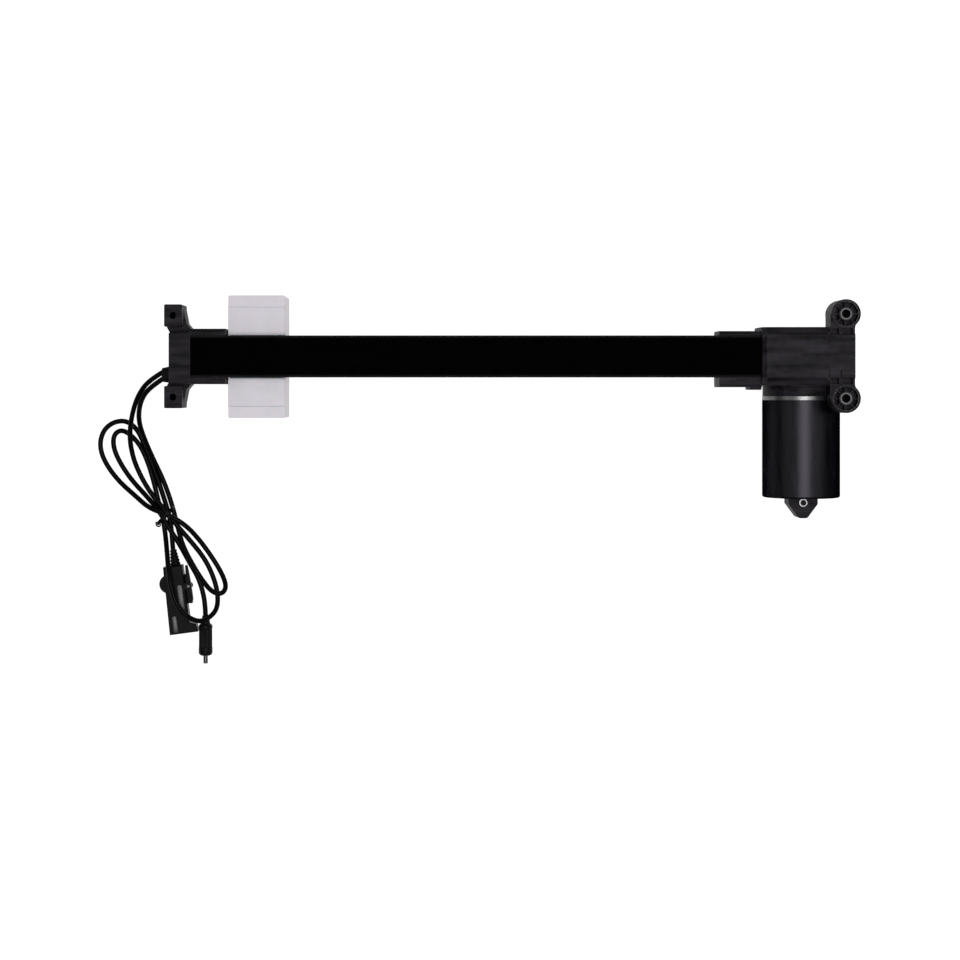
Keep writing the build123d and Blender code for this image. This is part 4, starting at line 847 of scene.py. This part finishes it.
# ---------------------------------------------------------------- what is on the cords
TIE_MIDDLE = Vector((-0.5166, -0.1234, -0.0466))
TAIL_R = 0.55 * MM
PLUG_FLUTES = 14
FLUTE_SIDES = 8  # sides for each flute
FLUTE_DEPTH = 0.55 * MM
RELIEF_START = Vector((-0.5111, -0.1500, -0.0504))
RELIEF_END = Vector((-0.5089, -0.1622, -0.0482))
RELIEF_START_R = 2.6 * MM
RELIEF_END_R = 4.2 * MM
RELIEF_RIBS = 5
RELIEF_SIDES = 40
RIB_DEPTH = 0.45 * MM
CONNECTOR_PLACE = Vector((-508.9, -162.2, 0)) * MM
CONNECTOR_TILT = Matrix.Rotation(math.radians(7.6), 3, "Z")
BARS = ((1.6, -37.0, -15.0, 2.0), (-5.6, -51.5, -38.5, 1.7))  # across, ends, half width, in mm
BAR_RISE = 0.25 * MM  # from the connector's top to the bars' middle
BAR_CROWN = 0.22  # in mm
BAR_LEAN = 0.12  # how much each bar falls towards the lever, for each mm of width
BAR_TAPER = 0.8  # length of each bar's end, in mm
BAR_END_SHARE = 0.3  # width and height of the end's tip, as a share
BAR_STEPS = 12


def make_tie_tail():
    """The twisted free end of the tie, bent into a small open loop beside the hank."""
    points = [
        TIE_MIDDLE + Vector((-6.4, -6.4, 1.0)) * MM,
        TIE_MIDDLE + Vector((-7.4, -5.2, -1.6)) * MM,
        TIE_MIDDLE + Vector((-8.0, -5.0, -4.4)) * MM,
        TIE_MIDDLE + Vector((-8.2, -7.8, -5.8)) * MM,
        TIE_MIDDLE + Vector((-6.0, -9.2, -5.8)) * MM,
        TIE_MIDDLE + Vector((-4.4, -7.6, -5.4)) * MM,
        TIE_MIDDLE + Vector((-5.0, -5.6, -3.4)) * MM,
    ]
    curve = round_cord("tie_tail", points, TAIL_R)
    return add_piece("tie_tail", curve, "cord_sheath", "root")


def make_plug():
    """The barrel plug's grip: a collar, a fluted waist and a smooth nose."""
    low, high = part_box("plug_body")
    start = Vector(((low[0] + high[0]) / 2, high[1], (low[2] + high[2]) / 2))
    radius = (high[0] - low[0]) / 2
    length = high[1] - low[1]
    inset = radius - 1.6 * MM
    profile = [
        (0, inset, 0),
        (1.2 * MM, radius - 0.3 * MM, 0),
        (2.0 * MM, radius, 0),
        (3.6 * MM, radius, 0),
        (4.2 * MM, radius - 0.3 * MM, 0),
        (5.0 * MM, radius - 0.2 * MM, 1),
        (length - 7.0 * MM, radius - 0.2 * MM, 1),
        (length - 6.2 * MM, radius - 0.1 * MM, 0),
        (length - 5.6 * MM, radius, 0),
        (length - 2.0 * MM, radius, 0),
        (length - 0.8 * MM, radius - 0.5 * MM, 0),
        (length, inset, 0),
    ]
    sides = FLUTE_SIDES * PLUG_FLUTES
    mesh = turned("plug_grip", start, -ACROSS, ALONG, profile, sides, PLUG_FLUTES, FLUTE_DEPTH)
    return add_piece("plug_grip", mesh, slot_of("plug_body"), "root", "plug_body")


def make_relief():
    """The connector's strain relief: a tapered boot with ribs."""
    axis = (RELIEF_END - RELIEF_START).normalized()
    length = (RELIEF_END - RELIEF_START).length
    profile = []
    for rib in range(RELIEF_RIBS):
        for share, depth in ((0.05, RIB_DEPTH), (0.2, 0), (0.6, 0), (0.75, RIB_DEPTH)):
            part = (rib + share) / RELIEF_RIBS
            radius = RELIEF_START_R + (RELIEF_END_R - RELIEF_START_R) * part
            profile.append((length * part, radius - depth, 0))
    profile.append((length, RELIEF_END_R, 0))
    side = axis.cross(UP).normalized()
    mesh = turned("relief_ribs", RELIEF_START, axis, side, profile, RELIEF_SIDES)
    return add_piece("relief_ribs", mesh, slot_of("connector_relief"), "root", "connector_relief")


def make_bars():
    """The two low-crowned polished bars on top of the connector."""
    middle = CONNECTOR_PLACE + UP * (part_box("connector_body")[1][2] + BAR_RISE)
    mesh = bmesh.new()
    for across, low, high, half in BARS:
        steps = (
            (low, BAR_END_SHARE),
            (low + BAR_TAPER, 1.0),
            (high - BAR_TAPER, 1.0),
            (high, BAR_END_SHARE),
        )
        rings = []
        for along, share in steps:
            ring = []
            for step in range(BAR_STEPS + 1):
                angle = math.pi * step / BAR_STEPS
                x = across + half * share * math.cos(angle)
                height = share * (BAR_CROWN * math.sin(angle) - BAR_LEAN * half * math.cos(angle))
                place = Vector((x, along, height)) * MM
                ring.append(mesh.verts.new(middle + CONNECTOR_TILT @ place))
            rings.append(ring)
        close_rings(mesh, rings)
    return add_piece("connector_bars", to_mesh("connector_bars", mesh), "switch_moulding", "root")


tie_tail = make_tie_tail()
connector_bars = make_bars()
plug_grip = make_plug()
relief_ribs = make_relief()
